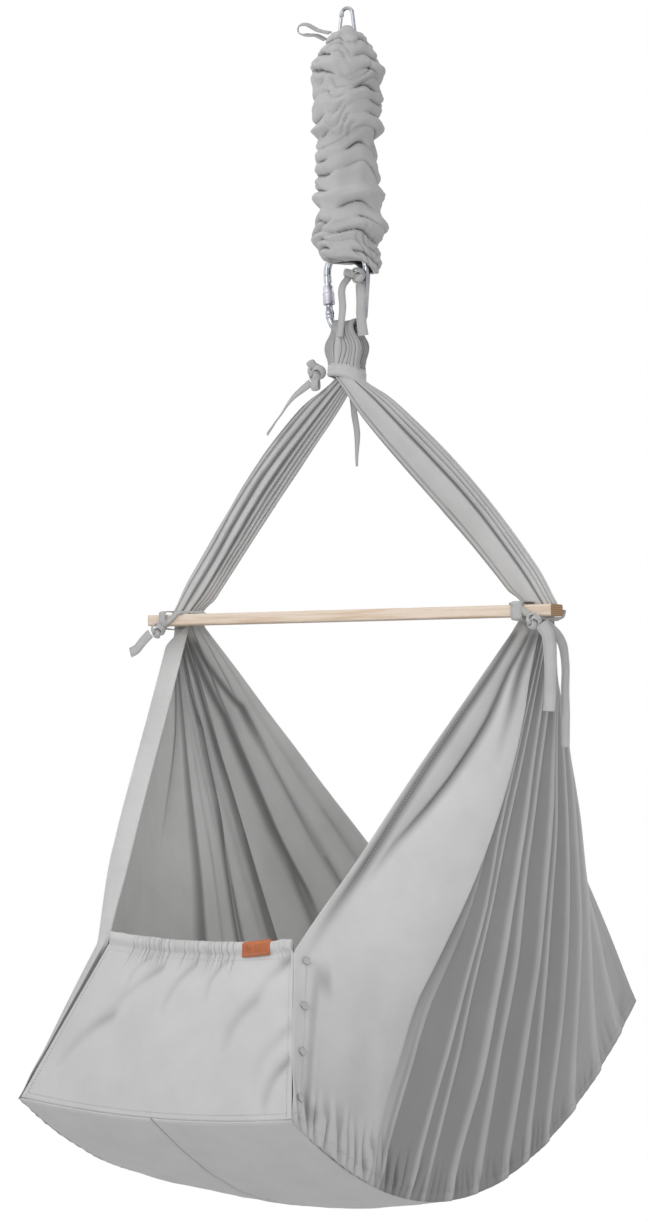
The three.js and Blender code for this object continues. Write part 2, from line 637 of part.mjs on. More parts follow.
// Knot and tails of the tape on the left arm, and the loose tail below the neck.
const neckMiddle = vec(0, 0, -neckDrop);
piece('left_arm_knot', knotSolid(8, neckMiddle.clone().add(vec(-42, -10, 6))), 'tape');
piece('left_arm_tail', tapeSolid(routeFrom(neckMiddle, [
  [[-50, -10.5, -6.8], [0, -1, 0.2]],
  [[-72, -20, -26], [0, -1, 0.2]],
  [[-92, -20, -48], [0, -1, 0.2]],
  [[-114, -19, -72], [0, -1, 0.2]],
]), tape.width * 0.8, tapeThick, 8), 'tape');
piece('neck_tail', tapeSolid(routeFrom(neckMiddle, [
  [[-6, 19, -7.2], frontFace],
  [[-2, 20, -44], frontFace],
  [[3, 20, -74], frontFace],
  [[2, 21, -118], frontFace],
]), tape.width * 0.6, tapeThick, 8), 'tape');

// Spreader bar with rounded edges.
function barSolid() {
  const flatDepth = bar.depth / 2 - bar.edge;
  const flatHeight = bar.height / 2 - bar.edge;
  const shape = new THREE.Shape();
  shape.absarc(flatDepth, flatHeight, bar.edge, 0, Math.PI / 2);
  shape.absarc(-flatDepth, flatHeight, bar.edge, Math.PI / 2, Math.PI);
  shape.absarc(-flatDepth, -flatHeight, bar.edge, Math.PI, 1.5 * Math.PI);
  shape.absarc(flatDepth, -flatHeight, bar.edge, 1.5 * Math.PI, 2 * Math.PI);
  const geometry = new THREE.ExtrudeGeometry(shape, { depth: bar.length, steps: 1, bevelEnabled: false, curveSegments: 3 });
  geometry.translate(0, 0, -bar.length / 2);
  geometry.applyMatrix4(new THREE.Matrix4().makeBasis(vec(0, 1, 0), vec(0, 0, 1), vec(1, 0, 0)));
  geometry.translate(0, 0, -bar.drop);
  return geometry;
}

piece('spreader_bar', barSolid(), 'wood');

// Bar ties: a tape that passes over the bar inside the bundle, behind the cloth, and back
// under the bar outside it.
const lash = 2.8;
const barFront = -bar.depth / 2 - lash;
const bundleBack = bundleY + bundle.halfDepth + lash;

function barTie(side) {
  const rows = [
    [[6, barFront, -0.3 * bar.height], [0, -1, 0]],
    [[-8, barFront, 0.35 * bar.height], [0, -1, 0.1]],
    [[-13, barFront + 0.8, 0.5 * bar.height + 0.7 * lash], [0, -1, 0.8]],
    [[-22, barFront * 0.45, 0.5 * bar.height + lash + 0.4], [-0.1, -0.2, 1]],
    [[-32, 9, 0.5 * bar.height + lash + 0.4], [-0.6, 0, 1]],
    [[-34, 15, 0.5 * bar.height + lash], [-0.8, 0.4, 1]],
    [[-35, bundleY, 0.3 * bar.height], [-1, 0, 0.5]],
    [[-27, bundleBack - 1, 0.1 * bar.height], [-0.7, 0.8, 0]],
    [[0, bundleBack, 0], [0, 1, 0]],
    [[27, bundleBack - 1, -0.1 * bar.height], [0.7, 0.8, 0]],
    [[36, bundleY, -0.3 * bar.height], [1, 0, -0.5]],
    [[34, 15, -0.5 * bar.height - lash], [0.8, 0.4, -1]],
    [[32, 9, -0.5 * bar.height - lash - 0.4], [0.6, 0, -1]],
    [[24, barFront * 0.45, -0.5 * bar.height - lash - 0.4], [0.1, -0.2, -1]],
    [[14, barFront - 0.4, -0.55 * bar.height], [0, -1, -0.6]],
  ].map(([[x, y, z], [nx, ny, nz]]) => [
    [side * (bundle.x + x), y, -bar.drop + z],
    [side * nx, ny, nz],
  ]);
  return tapeSolid(rows, 7, tapeThick * 0.8, 32, true);
}

piece('left_bar_tie', barTie(-1), 'tape');
piece('right_bar_tie', barTie(1), 'tape');
const leftTie = vec(-bundle.x, 0, -bar.drop);
const rightTie = vec(bundle.x, 0, -bar.drop);
piece('left_bar_knot', knotSolid(6.5, leftTie.clone().add(vec(-14, -25, -14))), 'tape');
piece('right_bar_knot', knotSolid(6.5, rightTie.clone().add(vec(18, -24.4, -14))), 'tape');
piece('left_bar_tail', tapeSolid(routeFrom(leftTie, [
  [[-26.5, -25, -18], [0.2, -1, 0.4]],
  [[-38, -27, -29], [0.1, -1, 0.3]],
  [[-49, -26, -39], [0, -1, 0.2]],
  [[-60, -25, -44], [0, -1, 0.1]],
]), tape.width, tapeThick, 6), 'tape');
piece('right_bar_tail', tapeSolid(routeFrom(rightTie, [
  [[29.3, -25, -17.5], [0, -1, 0.3]],
  [[40, -26, -33], [0.2, -1, 0.2]],
  [[43, -27, -63], frontFace],
  [[42, -25, -98], frontFace],
  [[40, -26, -127], frontFace],
]), tape.width, tapeThick, 10), 'tape');
piece('right_bar_back_tail', tapeSolid(routeFrom(rightTie, [
  [[30.4, -18.5, -16], [0, -1, 0.4]],
  [[47, -8, -36], [0.4, -1, 0]],
  [[52, -4, -68], frontFace],
  [[53, -6, -113], frontFace],
  [[52, -4, -172], frontFace],
]), tape.width * 0.8, tapeThick, 10), 'tape');

// The bag's lower seam: an arc that sags between its ends, the front end a little lower.
function seamZ(y) {
  const share = y / bag.halfLength;
  return -bag.seamDrop + bag.seamRise * share * share + bag.tilt * share;
}

// The line of a fan's edge, from the bar to the end panel's top corner and down to the seam.
const fanTopZ = barUnder - 1.5;
const fanSide = bag.halfWidth + gap;

function cornerLine(panel) {
  const baseY = panel.end * bag.halfLength;
  const base = vec(fanSide, baseY, seamZ(baseY) + gap);
  const kink = vec(fanSide - panel.pullIn, baseY - panel.end * panel.lean, seamZ(baseY) + panel.rise);
  return { base, kink };
}

const kinkShare = 0.69;
const fanRowShares = [0, 0.06, 0.14, 0.25, 0.38, 0.53, kinkShare, 0.76, 0.84, 0.92, 1];

// A point of a fan's inner face on the +X side: t runs from front to back, s from the bar down.
function fanPoint(t, s) {
  const bundleAngle = Math.PI * t;
  const innerDepth = bundle.halfDepth - fan.neckThick;
  const top = vec(
    lerp(bundle.x - bundle.halfWidth, bundle.x + bundle.halfWidth - fan.neckThick, Math.sin(bundleAngle)),
    bundleY - innerDepth * Math.cos(bundleAngle),
    fanTopZ,
  );
  const y = lerp(-bag.halfLength, bag.halfLength, t);
  const foot = vec(fanSide, y, seamZ(y) + gap);
  const point = top.clone().lerp(foot, s);
  for (const panel of [frontPanel, backPanel]) {
    const reach = panel.end < 0 ? t : 1 - t;
    const pull = Math.max(0, 1 - reach / fan.kinkReach) ** 2;
    const { base, kink } = cornerLine(panel);
    const edgeTop = vec(bundle.x - bundle.halfWidth, bundleY + panel.end * innerDepth, fanTopZ);
    const edge = s < kinkShare
      ? edgeTop.clone().lerp(kink, s / kinkShare)
      : kink.clone().lerp(base, (s - kinkShare) / (1 - kinkShare));
    point.addScaledVector(edge.sub(edgeTop.clone().lerp(base, s)), pull);
  }
  return point;
}

// The way out of a fan's face, and how thick the gathered cloth is there.
function fanOutward(t, s) {
  const gathered = vec(Math.sin(Math.PI * t), -Math.cos(Math.PI * t), 0);
  return gathered.lerp(vec(1, 0, 0), smooth(s, 0, 0.35)).normalize();
}

function fanGrids() {
  const columns = 4 * fan.folds;
  const inner = [];
  const outer = [];
  const lift = vec(0, 0, barUnder - fanTopZ + bar.height / 2 - gap / 2);
  fanRowShares.forEach((s, row) => {
    const innerRow = [];
    const outerRow = [];
    for (let j = 0; j <= columns; j += 1) {
      const t = j / columns;
      const fold = (1 - Math.cos(2 * Math.PI * fan.folds * t)) / 2;
      const swell = fan.foldDepth * fold * Math.sin(Math.PI * Math.min(1, s * 1.02)) ** 0.7;
      const thick = lerp(fan.neckThick, cloth, smooth(s, 0, 0.25));
      const outward = fanOutward(t, s);
      const foot = fanPoint(t, s).addScaledVector(outward, swell);
      innerRow.push(foot);
      outerRow.push(foot.clone().addScaledVector(outward, thick));
    }
    if (row === 0) {
      inner.push(innerRow.map((p) => p.clone().add(lift)));
      outer.push(outerRow.map((p) => p.clone().add(lift)));
    }
    inner.push(innerRow);
    outer.push(outerRow);
    if (s === 1) {
      const hem = vec(0, 0, -fan.hem - gap);
      inner.push(innerRow.map((p) => p.clone().add(hem)));
      outer.push(outerRow.map((p) => p.clone().add(hem)));
    }
  });
  return { inner, outer };
}

const fanGrid = fanGrids();
const mirrored = (grid) => grid.map((row) => row.map((p) => vec(-p.x, p.y, p.z)));
piece('right_fan', panelSolid(fanGrid.outer, fanGrid.inner), 'cotton');
piece('left_fan', panelSolid(mirrored(fanGrid.outer), mirrored(fanGrid.inner)), 'cotton');

// Bottom panel: sewn between the fans' lower seams, hanging lower along its middle.
function bottomTop(u, y) {
  const share = Math.abs(y) / bag.halfLength;
  const crown = lerp(bag.crownMiddle, bag.crownEnd, share * share);
  return vec(u * bag.halfWidth, y, seamZ(y) - crown * (1 - u * u));
}

function gridOf(rows, columns, place) {
  return Array.from({ length: rows + 1 }, (_, i) => Array.from({ length: columns + 1 }, (_unused, j) => (
    place(i / rows, j / columns)
  )));
}

const bottomGrid = (drop) => gridOf(20, 8, (v, u) => (
  bottomTop(2 * u - 1, lerp(-bag.halfLength, bag.halfLength, v)).add(vec(0, 0, -drop))
));
piece('bottom_panel', panelSolid(bottomGrid(0), bottomGrid(cloth)), 'cotton');

// Mattress: a pad that follows the bottom, crowned, with thin rounded edges.
const padGrid = (share) => gridOf(14, 10, (v, u) => {
  const across = 2 * u - 1;
  const along = 2 * v - 1;
  const rim = (1 - Math.abs(across) ** 6) * (1 - Math.abs(along) ** 12);
  const point = bottomTop((across * padHalfWidth) / bag.halfWidth, along * padHalfLength);
  const thick = lerp(mattress.edgeThick, mattress.thick, Math.sqrt(Math.max(0, rim)));
  const seat = gap * 3 + (1 - rim) * mattress.edgeThick * 0.5;
  point.z += seat + share * thick;
  return point;
});
piece('mattress', panelSolid(padGrid(1), padGrid(0)), 'mattress');

// End panels: a bowed trapezium of cloth that turns back inside the fans' edges.
function panelGrids(panel) {
  const { base, kink } = cornerLine(panel);
  const shares = [0, 0.25, 0.5, 0.75, 1];
  const across = [-1, -1, -0.75, -0.5, -0.25, 0, 0.25, 0.5, 0.75, 1, 1];
  const last = across.length - 1;
  const outer = [];
  const inner = [];
  for (const share of shares) {
    const corner = base.clone().lerp(kink, share);
    const width = corner.x - 2 * gap;
    const outerRow = [];
    const innerRow = [];
    across.forEach((u, j) => {
      const isReturn = j === 0 || j === last;
      const isCorner = j === 1 || j === last - 1;
      const bow = panel.belly * Math.sin(Math.PI * share) * (1 - u * u);
      const dip = lerp(bag.crownEnd, panel.topDip, share) * (1 - u * u);
      const turnBack = isReturn ? panel.sideReturn : 0;
      const y = corner.y + panel.end * (bow - turnBack);
      const turnIn = isReturn ? panel.inset : 0;
      const point = vec(u * width - Math.sign(u) * turnIn, y, corner.z - dip);
      const inwardX = isReturn || isCorner ? -Math.sign(u) * cloth : 0;
      const inwardY = isReturn ? 0 : -panel.end * cloth;
      outerRow.push(point);
      innerRow.push(point.clone().add(vec(inwardX, inwardY, 0)));
    });
    outer.push(outerRow);
    inner.push(innerRow);
  }
  return { outer, inner };
}

const frontGrid = panelGrids(frontPanel);
const backGrid = panelGrids(backPanel);
piece('front_panel', panelSolid(frontGrid.outer, frontGrid.inner), 'cotton');
piece('back_panel', panelSolid(backGrid.outer, backGrid.inner), 'cotton');

// The middle of a casing along a panel's top edge, across from side to side.
function casingPoint(panel, u) {
  const { kink } = cornerLine(panel);
  const width = kink.x - 2 * gap - 2.5;
  const bow = 1 - u * u;
  return vec(
    u * width,
    kink.y - panel.end * (cloth / 2),
    kink.z - panel.topDip * bow + 2 * gap + casing.halfHeight + casing.gather,
  );
}

function casingRings(panel, halfDepth, halfHeight, gather, steps) {
  return Array.from({ length: steps + 1 }, (_, i) => {
    const u = 2 * (i / steps) - 1;
    const ripple = gather * Math.cos(2 * Math.PI * casing.gathers * (i / steps));
    const section = pleatedSection(halfDepth + ripple, halfHeight + ripple, 0, 8);
    return placeRing(section, casingPoint(panel, u), vec(0, 1, 0), vec(0, 0, 1));
  });
}

for (const [name, panel] of [['front', frontPanel], ['back', backPanel]]) {
  const steps = 2 * casing.gathers;
  const outer = casingRings(panel, casing.halfDepth, casing.halfHeight, casing.gather, steps);
  const bore = casingRings(panel, casing.boreHalfDepth, casing.boreHalfHeight, 0, steps);
  piece(`${name}_casing`, tubeSolid(outer, bore), 'cotton');
  const band = Array.from({ length: steps + 1 }, (_, i) => {
    const section = [
      [-elastic.halfDepth, -elastic.halfHeight * 0.6], [elastic.halfDepth, -elastic.halfHeight * 0.6],
      [elastic.halfDepth, elastic.halfHeight * 0.6], [-elastic.halfDepth, elastic.halfHeight * 0.6],
    ];
    return placeRing(section, casingPoint(panel, 2 * (i / steps) - 1), vec(0, 1, 0), vec(0, 0, 1));
  });
  piece(`${name}_elastic`, ringSolid(band), 'elastic');
}

// Leather tag, folded over the front casing.
function tagSolid() {
  const at = casingPoint(frontPanel, tag.x / (frontGrid.outer[4][9].x));
  const inside = casing.halfDepth + casing.gather + 2 * gap;
  const over = casing.halfHeight + casing.gather + 2 * gap;
  const profile = [
    [-inside - tag.thick, over - tag.drop], [-inside, over - tag.drop], [-inside, over], [inside, over],
    [inside, over - tag.drop], [inside + tag.thick, over - tag.drop], [inside + tag.thick, over + tag.thick * 0.5],
    [inside + tag.thick * 0.5, over + tag.thick], [-inside - tag.thick * 0.5, over + tag.thick],
    [-inside - tag.thick, over + tag.thick * 0.5],
  ].map(([y, z]) => new THREE.Vector2(y, z));
  const geometry = new THREE.ExtrudeGeometry(new THREE.Shape(profile), { depth: tag.width, steps: 1, bevelEnabled: false });
  geometry.translate(0, 0, -tag.width / 2);
  geometry.applyMatrix4(new THREE.Matrix4().makeBasis(vec(0, 1, 0), vec(0, 0, 1), vec(1, 0, 0)));
  geometry.translate(at.x, at.y, at.z);
  return geometry;
}

piece('leather_tag', tagSolid(), 'leather');

// Ring snaps down each front edge: a cap on the fan's placket and a stud inside the panel's return.
function snapCap() {
  const { radius, height, ringWidth, dish } = snap;
  const profile = [
    [0, 0], [radius * 0.9, 0], [radius, height * 0.4], [radius - ringWidth * 0.3, height],
    [radius - ringWidth, height], [radius - ringWidth * 1.2, height - dish], [0, height - dish],
  ].map(([r, y]) => new THREE.Vector2(r, y));
  return new THREE.LatheGeometry(profile, 9);
}

function snapBack() {
  const { backRadius, backHeight } = snap;
  const profile = [[0, 0], [backRadius, 0], [backRadius * 0.8, backHeight], [0, backHeight]]
    .map(([r, y]) => new THREE.Vector2(r, y));
  return new THREE.LatheGeometry(profile, 8);
}

// Seats a turned piece on a face, its axis along the face's outward direction.
function seatOn(geometry, point, outward, clearance) {
  geometry.applyQuaternion(new THREE.Quaternion().setFromUnitVectors(vec(0, 1, 0), outward));
  geometry.translate(point.x, point.y, point.z);
  geometry.translate(outward.x * clearance, outward.y * clearance, outward.z * clearance);
  return geometry;
}

const snapRowShares = Array.from({ length: snap.count }, (_, i) => lerp(0.97, 0.16, i / (snap.count - 1)));
for (const side of [1, -1]) {
  const name = side > 0 ? 'right' : 'left';
  snapRowShares.forEach((level, i) => {
    const s = lerp(1, kinkShare, level);
    const row = fanRowShares.findIndex((value) => value >= s) + 1;
    const rowShare = (s - fanRowShares[row - 2]) / (fanRowShares[row - 1] - fanRowShares[row - 2]);
    const [a, b] = [fanGrid.outer[row - 1][0], fanGrid.outer[row - 1][1]];
    const [c, d] = [fanGrid.outer[row][0], fanGrid.outer[row][1]];
    const columnShare = 0.42;
    const seat = a.clone().lerp(b, columnShare).lerp(c.clone().lerp(d, columnShare), rowShare);
    const outward = b.clone().sub(a).cross(a.clone().sub(c)).normalize();
    if (outward.x < 0) outward.negate();
    const mirror = vec(side, 1, 1);
    const cap = seatOn(snapCap(), seat.multiply(mirror), outward.multiply(mirror), gap);
    piece(`${name}_snap_cap_${i + 1}`, cap, 'steel');
    const height = seat.z;
    const studAxis = vec(-side * frontPanel.sideReturn, -frontPanel.inset, 0).normalize();
    const { base, kink } = cornerLine(frontPanel);
    const corner = base.clone().lerp(kink, (height - base.z) / (kink.z - base.z));
    const backX = corner.x - 2 * gap - cloth - frontPanel.inset / 2;
    const back = vec(side * backX, corner.y + frontPanel.sideReturn / 2, height);
    piece(`${name}_snap_stud_${i + 1}`, seatOn(snapBack(), back, studAxis, gap * 3), 'steel');
  });
}

export default model;
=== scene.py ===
"""Looks of a hanging baby cradle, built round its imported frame.

Metres, +Z up. The origin is the seat of the top hook, +X runs along the wooden bar and +Y along
the cradle, away from its opening front panel.
"""
import logging
from dataclasses import dataclass
from enum import Enum
from math import asin, copysign, cos, exp, floor, hypot, pi, radians, sin, sqrt, tau
from typing import Any, Callable, ClassVar, Sequence

import bmesh
import bpy
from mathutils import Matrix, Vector, noise


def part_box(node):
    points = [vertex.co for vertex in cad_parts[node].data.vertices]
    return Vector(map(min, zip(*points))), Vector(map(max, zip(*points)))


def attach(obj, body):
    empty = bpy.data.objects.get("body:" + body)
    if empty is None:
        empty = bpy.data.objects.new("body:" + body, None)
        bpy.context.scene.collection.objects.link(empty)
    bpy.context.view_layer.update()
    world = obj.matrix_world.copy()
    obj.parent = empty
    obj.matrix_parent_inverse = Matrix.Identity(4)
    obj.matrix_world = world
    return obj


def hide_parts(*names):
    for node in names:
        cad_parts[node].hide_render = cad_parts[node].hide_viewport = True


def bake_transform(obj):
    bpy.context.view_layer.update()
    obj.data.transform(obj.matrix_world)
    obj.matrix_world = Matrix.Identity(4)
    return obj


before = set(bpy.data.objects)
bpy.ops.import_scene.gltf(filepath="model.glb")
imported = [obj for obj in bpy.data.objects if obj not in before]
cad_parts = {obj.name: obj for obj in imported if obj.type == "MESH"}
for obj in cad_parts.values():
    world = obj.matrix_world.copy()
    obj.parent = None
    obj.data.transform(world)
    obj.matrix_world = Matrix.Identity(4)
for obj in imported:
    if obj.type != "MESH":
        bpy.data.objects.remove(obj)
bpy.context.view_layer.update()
LOG = logging.getLogger("cradle")

Place = Callable[[float, float], Vector]
Measure = Callable[[float, float], float]
Facing = Callable[[float, Vector], Vector]
Section = Callable[[float, float], tuple[float, float]]
Mesh = bmesh.types.BMesh
Piece = bpy.types.Object
Tree = bpy.types.NodeTree
Socket = bpy.types.NodeSocket
MM = 0.001
# Points closer than this are one point
WELD = 0.002 * MM
# A wave texture of scale 1 repeats over this length
WAVE_LENGTH = 0.314
# Sewing: from one stitch to the next and how thick the thread is, on seams and on small pieces
SEAM_PITCH = 4.2 * MM
SEAM_THREAD = 0.7 * MM
FINE_THREAD = 0.6 * MM


# Numbers and colours

def to_linear(colour: str) -> tuple[float, float, float, float]:
    """Turns an sRGB hex colour into linear red, green, blue and an alpha of 1.

    Args:
        colour: six hex digits after a hash.

    Returns:
        The linear colour.
    """
    parts = []
    for start in (1, 3, 5):
        share = int(colour[start:start + 2], 16) / 255
        parts.append(share / 12.92 if share <= 0.04045 else ((share + 0.055) / 1.055) ** 2.4)
    return parts[0], parts[1], parts[2], 1.0


def lerp(start: float, end: float, share: float) -> float:
    """Mixes two numbers."""
    return start + (end - start) * share


def smooth(value: float, low: float, high: float) -> float:
    """Rises softly from 0 at low to 1 at high."""
    share = min(1.0, max(0.0, (value - low) / (high - low)))
    return share * share * (3 - 2 * share)


def grain(x: float, y: float, seed: float = 0.0) -> float:
    """Smooth noise from -1 to 1 over a plane, the same on each run."""
    return noise.noise(Vector((x, y, seed * 7.31)))


def pleat(phase: float, lean: float = 0.8) -> float:
    """One pleat for each whole number of phase: it rises slowly and falls back steeply.

    Args:
        phase: how many pleats along the point is.
        lean: the share of a pleat that rises.

    Returns:
        The height, from 0 to 1.
    """
    share = phase - floor(phase)
    if share < lean:
        return smooth(share, 0, lean)
    return 1 - smooth(share, lean, 1)


def folded(at: float, edges: Sequence[tuple[float, float]], spread: float,
           fade: float) -> tuple[float, float, float]:
    """Overlapping pleats whose steep edges lie at chosen places.

    Args:
        at: the place across the cloth.
        edges: where each pleat ends and how deep it is at most, in order.
        spread: how wide one unit of place is, which limits the depth.
        fade: how far past an edge its shade reaches.

    Returns:
        The height in metres, the painted shade of the folds there and how near to a pleat's crest it
        is, both from 0 to 1.
    """
    before = 0.0
    last = 0.0
    for edge, depth in edges:
        if at < edge:
            span = edge - before
            part = (at - before) / span
            most = min(depth, 0.5 * span * spread)
            height = smooth(part, 0.0, 0.9) ** 0.8 if part < 0.9 else 1 - smooth(part, 0.9, 1.0)
            past = smooth(last, 0.0004, 0.006) * (1 - smooth(at - before, 0.0, fade)) ** 1.5
            crest = smooth(part, 0.55, 0.82) * (1 - smooth(part, 0.9, 0.96))
            return most * height, max(smooth(most, 0.0004, 0.004) * smooth(part, 0.9, 0.98), past), crest
        last = min(depth, 0.5 * (edge - before) * spread)
        before = edge
    return 0.0, 0.0, 0.0


def curve_point(points: Sequence[Vector], share: float, is_loop: bool = False) -> Vector:
    """A point of the smooth line through some points.

    Args:
        points: what the line passes through.
        share: how far along, from 0 to 1.
        is_loop: whether the line closes on itself.

    Returns:
        The point.
    """
    count = len(points)
    spans = count if is_loop else count - 1
    place = min(max(share, 0.0), 1.0) * spans
    index = min(int(place), spans - 1)
    part = place - index

    def at(step: int) -> Vector:
        """A neighbour of this span, mirrored past an open end."""
        if is_loop:
            return points[step % count]
        if step < 0:
            return points[0] * 2 - points[1]
        if step >= count:
            return points[-1] * 2 - points[-2]
        return points[step]

    before, start, end, after = (at(index + step) for step in (-1, 0, 1, 2))
    rise = (end - before) * 0.5
    fall = (after - start) * 0.5
    square = part * part
    cube = square * part
    return (start * (2 * cube - 3 * square + 1) + rise * (cube - 2 * square + part)
            + end * (3 * square - 2 * cube) + fall * (cube - square))


def heading(points: Sequence[Vector], share: float, step: float, is_loop: bool = False) -> Vector:
    """The direction of the smooth line through some points.

    Args:
        points: what the line passes through.
        share: how far along, from 0 to 1.
        step: how far to look to either side, as a share.
        is_loop: whether the line closes on itself.

    Returns:
        The direction.
    """
    ahead, behind = share + step, share - step
    if is_loop:
        ahead, behind = ahead % 1, behind % 1
    return (curve_point(points, ahead, is_loop) - curve_point(points, behind, is_loop)).normalized()


def square_to(way: Vector, face: Vector) -> Vector:
    """The direction nearest to a face's that stands square to a way."""
    return (face - way * face.dot(way)).normalized()


def length_of(points: Sequence[Vector]) -> float:
    """How long the straight runs between some points are together."""
    return sum((after - before).length for before, after in zip(points, points[1:]))


def spaced(count: int, low: float = 0.0, high: float = 1.0) -> list[float]:
    """Numbers evenly spaced from low to high, both included."""
    return [lerp(low, high, index / (count - 1)) for index in range(count)]


# Mesh helpers

def patch(columns: int, rows: int, place: Place, flat: tuple[float, float],
          crease: Measure | None = None) -> Mesh:
    """A grid of cloth whose points a function places, with a UV map in metres.

    Args:
        columns: faces across.
        rows: faces along.
        place: gives the point for a share across and a share along.
        flat: the cloth's size across and along, for the UV map.
        crease: gives the painted shade at a point, from how deep in a fold it lies, from 0 to 1.

    Returns:
        The mesh in the making.
    """
    mesh = bmesh.new()
    bmesh.ops.create_grid(mesh, x_segments=columns, y_segments=rows, size=0.5)
    layer = mesh.loops.layers.uv.new("UVMap")
    # The crease attribute holds painted shade, from 0 to 1
    depth = mesh.verts.layers.float.new("crease")
    for face in mesh.faces:
        for corner in face.loops:
            spot = corner.vert.co
            corner[layer].uv = ((spot.x + 0.5) * flat[0], (spot.y + 0.5) * flat[1])
    for vert in mesh.verts:
        across = vert.co.x + 0.5
        along = vert.co.y + 0.5
        if crease is not None:
            vert[depth] = crease(across, along)
        vert.co = place(across, along)
    return mesh


def wrap(columns: int, rows: int, place: Place, flat: tuple[float, float],
         crease: Measure | None = None) -> Mesh:
    """A patch whose sides meet, so that it is a tube; rows drawn to a point close its ends.

    Args:
        columns: faces round.
        rows: faces along.
        place: gives the point; it is the same at 0 and 1 across.
        flat: the size round and along, for the UV map.
        crease: gives the painted shade at a point, from how deep in a fold it lies, from 0 to 1.

    Returns:
        The mesh in the making.
    """
    mesh = patch(columns, rows, place, flat, crease)
    bmesh.ops.remove_doubles(mesh, verts=mesh.verts[:], dist=WELD)
    bmesh.ops.recalc_face_normals(mesh, faces=mesh.faces[:])
    return mesh


def loop_tube(points: Sequence[Vector], section: Section, facing: Facing, around: int, steps: int) -> Mesh:
    """A solid whose section follows a line that closes on itself.

    Args:
        points: the line's points.
        section: gives across and deep for a share round and a share along.
        facing: gives the direction nearest to deep, for a share along and the middle there.
        around: faces round.
        steps: faces along.

    Returns:
        The mesh in the making.
    """
    def place(across: float, along: float) -> Vector:
        """A point of the tube's skin."""
        centre = curve_point(points, along, True)
        way = heading(points, along, 0.25 / steps, True)
        deep = square_to(way, facing(along, centre))
        wide, thick = section(across % 1, along)
        return centre + way.cross(deep) * wide + deep * thick

    return wrap(around, steps, place, (0.03, length_of(points)))


def round_section(radius: float) -> Section:
    """A round section of one radius, for a tube."""
    def section(across: float, along: float) -> tuple[float, float]:
        """Across and deep on the circle."""
        angle = tau * across
        return radius * cos(angle), radius * sin(angle)

    return section


def lathe(profile: Sequence[tuple[float, float]], steps: int) -> Mesh:
    """A turned piece about +Z.

    Args:
        profile: radius and height of each point, from one end to the other.
        steps: faces round.

    Returns:
        The mesh in the making.
    """
    mesh = bmesh.new()
    verts = [mesh.verts.new((radius, 0, height)) for radius, height in profile]
    edges = [mesh.edges.new(pair) for pair in zip(verts, verts[1:])]
    bmesh.ops.spin(mesh, geom=verts + edges, cent=(0, 0, 0), axis=(0, 0, 1), angle=tau,
                   steps=steps, use_merge=True, use_duplicate=False)
    bmesh.ops.remove_doubles(mesh, verts=mesh.verts[:], dist=0.01 * MM)
    bmesh.ops.recalc_face_normals(mesh, faces=mesh.faces[:])
    return mesh


def point_along(mesh: Mesh, way: Vector, place: Vector) -> Mesh:
    """Turns a piece's +Z to a direction and moves it to a place.

    Args:
        mesh: the piece, about the origin.
        way: where its +Z goes.
        place: where its origin goes.

    Returns:
        The same mesh.
    """
    matrix = Vector((0, 0, 1)).rotation_difference(way).to_matrix()
    bmesh.ops.rotate(mesh, verts=mesh.verts[:], cent=(0, 0, 0), matrix=matrix)
    bmesh.ops.translate(mesh, verts=mesh.verts[:], vec=place)
    return mesh


def joined(meshes: Sequence[Mesh]) -> Mesh:
    """Puts several meshes in the making into the first one.

    Args:
        meshes: the meshes; all but the first are freed.

    Returns:
        The first mesh.
    """
    first = meshes[0]
    for other in meshes[1:]:
        data = bpy.data.meshes.new("part")
        other.to_mesh(data)
        other.free()
        first.from_mesh(data)
        bpy.data.meshes.remove(data)
    return first


def stitches(points: Sequence[Vector], pitch: float = SEAM_PITCH, thread: float = SEAM_THREAD) -> Mesh:
    """A row of thread stitches laid along a line.

    Args:
        points: the line, close together.
        pitch: from one stitch to the next.
        thread: how thick the thread is.

    Returns:
        The mesh in the making.
    """
    mesh = bmesh.new()
    left = pitch
    for start, end in zip(points, points[1:]):
        span = end - start
        way = span.normalized()
        while left < span.length:
            made = bmesh.ops.create_icosphere(mesh, subdivisions=1, radius=0.5)
            verts = made["verts"]
            bmesh.ops.scale(mesh, verts=verts, vec=(thread, thread, pitch * 0.62))
            matrix = Vector((0, 0, 1)).rotation_difference(way).to_matrix()
            bmesh.ops.rotate(mesh, verts=verts, cent=(0, 0, 0), matrix=matrix)
            bmesh.ops.translate(mesh, verts=verts, vec=start + way * left)
            left += pitch
        left -= span.length
    return mesh


# Materials

def fill(tree: Tree, node: bpy.types.Node, inputs: dict[Any, Any]) -> None:
    """Gives a node's inputs their values and links.

    Args:
        tree: the material's or world's nodes.
        node: the node.
        inputs: a value or another node's output for each named or numbered input.
    """
    for name, value in inputs.items():
        if isinstance(value, Socket):
            tree.links.new(value, node.inputs[name])
        else:
            node.inputs[name].default_value = value


def add_node(tree: Tree, kind: str, settings: dict[str, Any] | None = None,
             inputs: dict[Any, Any] | None = None) -> bpy.types.Node:
    """Adds a shader node with its settings, values and links.

    Args:
        tree: the material's or world's nodes.
        kind: the node's type name, after the word ShaderNode.
        settings: its own properties.
        inputs: a value or another node's output for each named or numbered input.

    Returns:
        The node.
    """
    node = tree.nodes.new("ShaderNode" + kind)
    for name, value in (settings or {}).items():
        setattr(node, name, value)
    fill(tree, node, inputs or {})
    return node


def worked(tree: Tree, operation: str, *values: Any) -> Socket:
    """Works out one sum of numbers or outputs."""
    return add_node(tree, "Math", {"operation": operation}, dict(enumerate(values))).outputs["Value"]


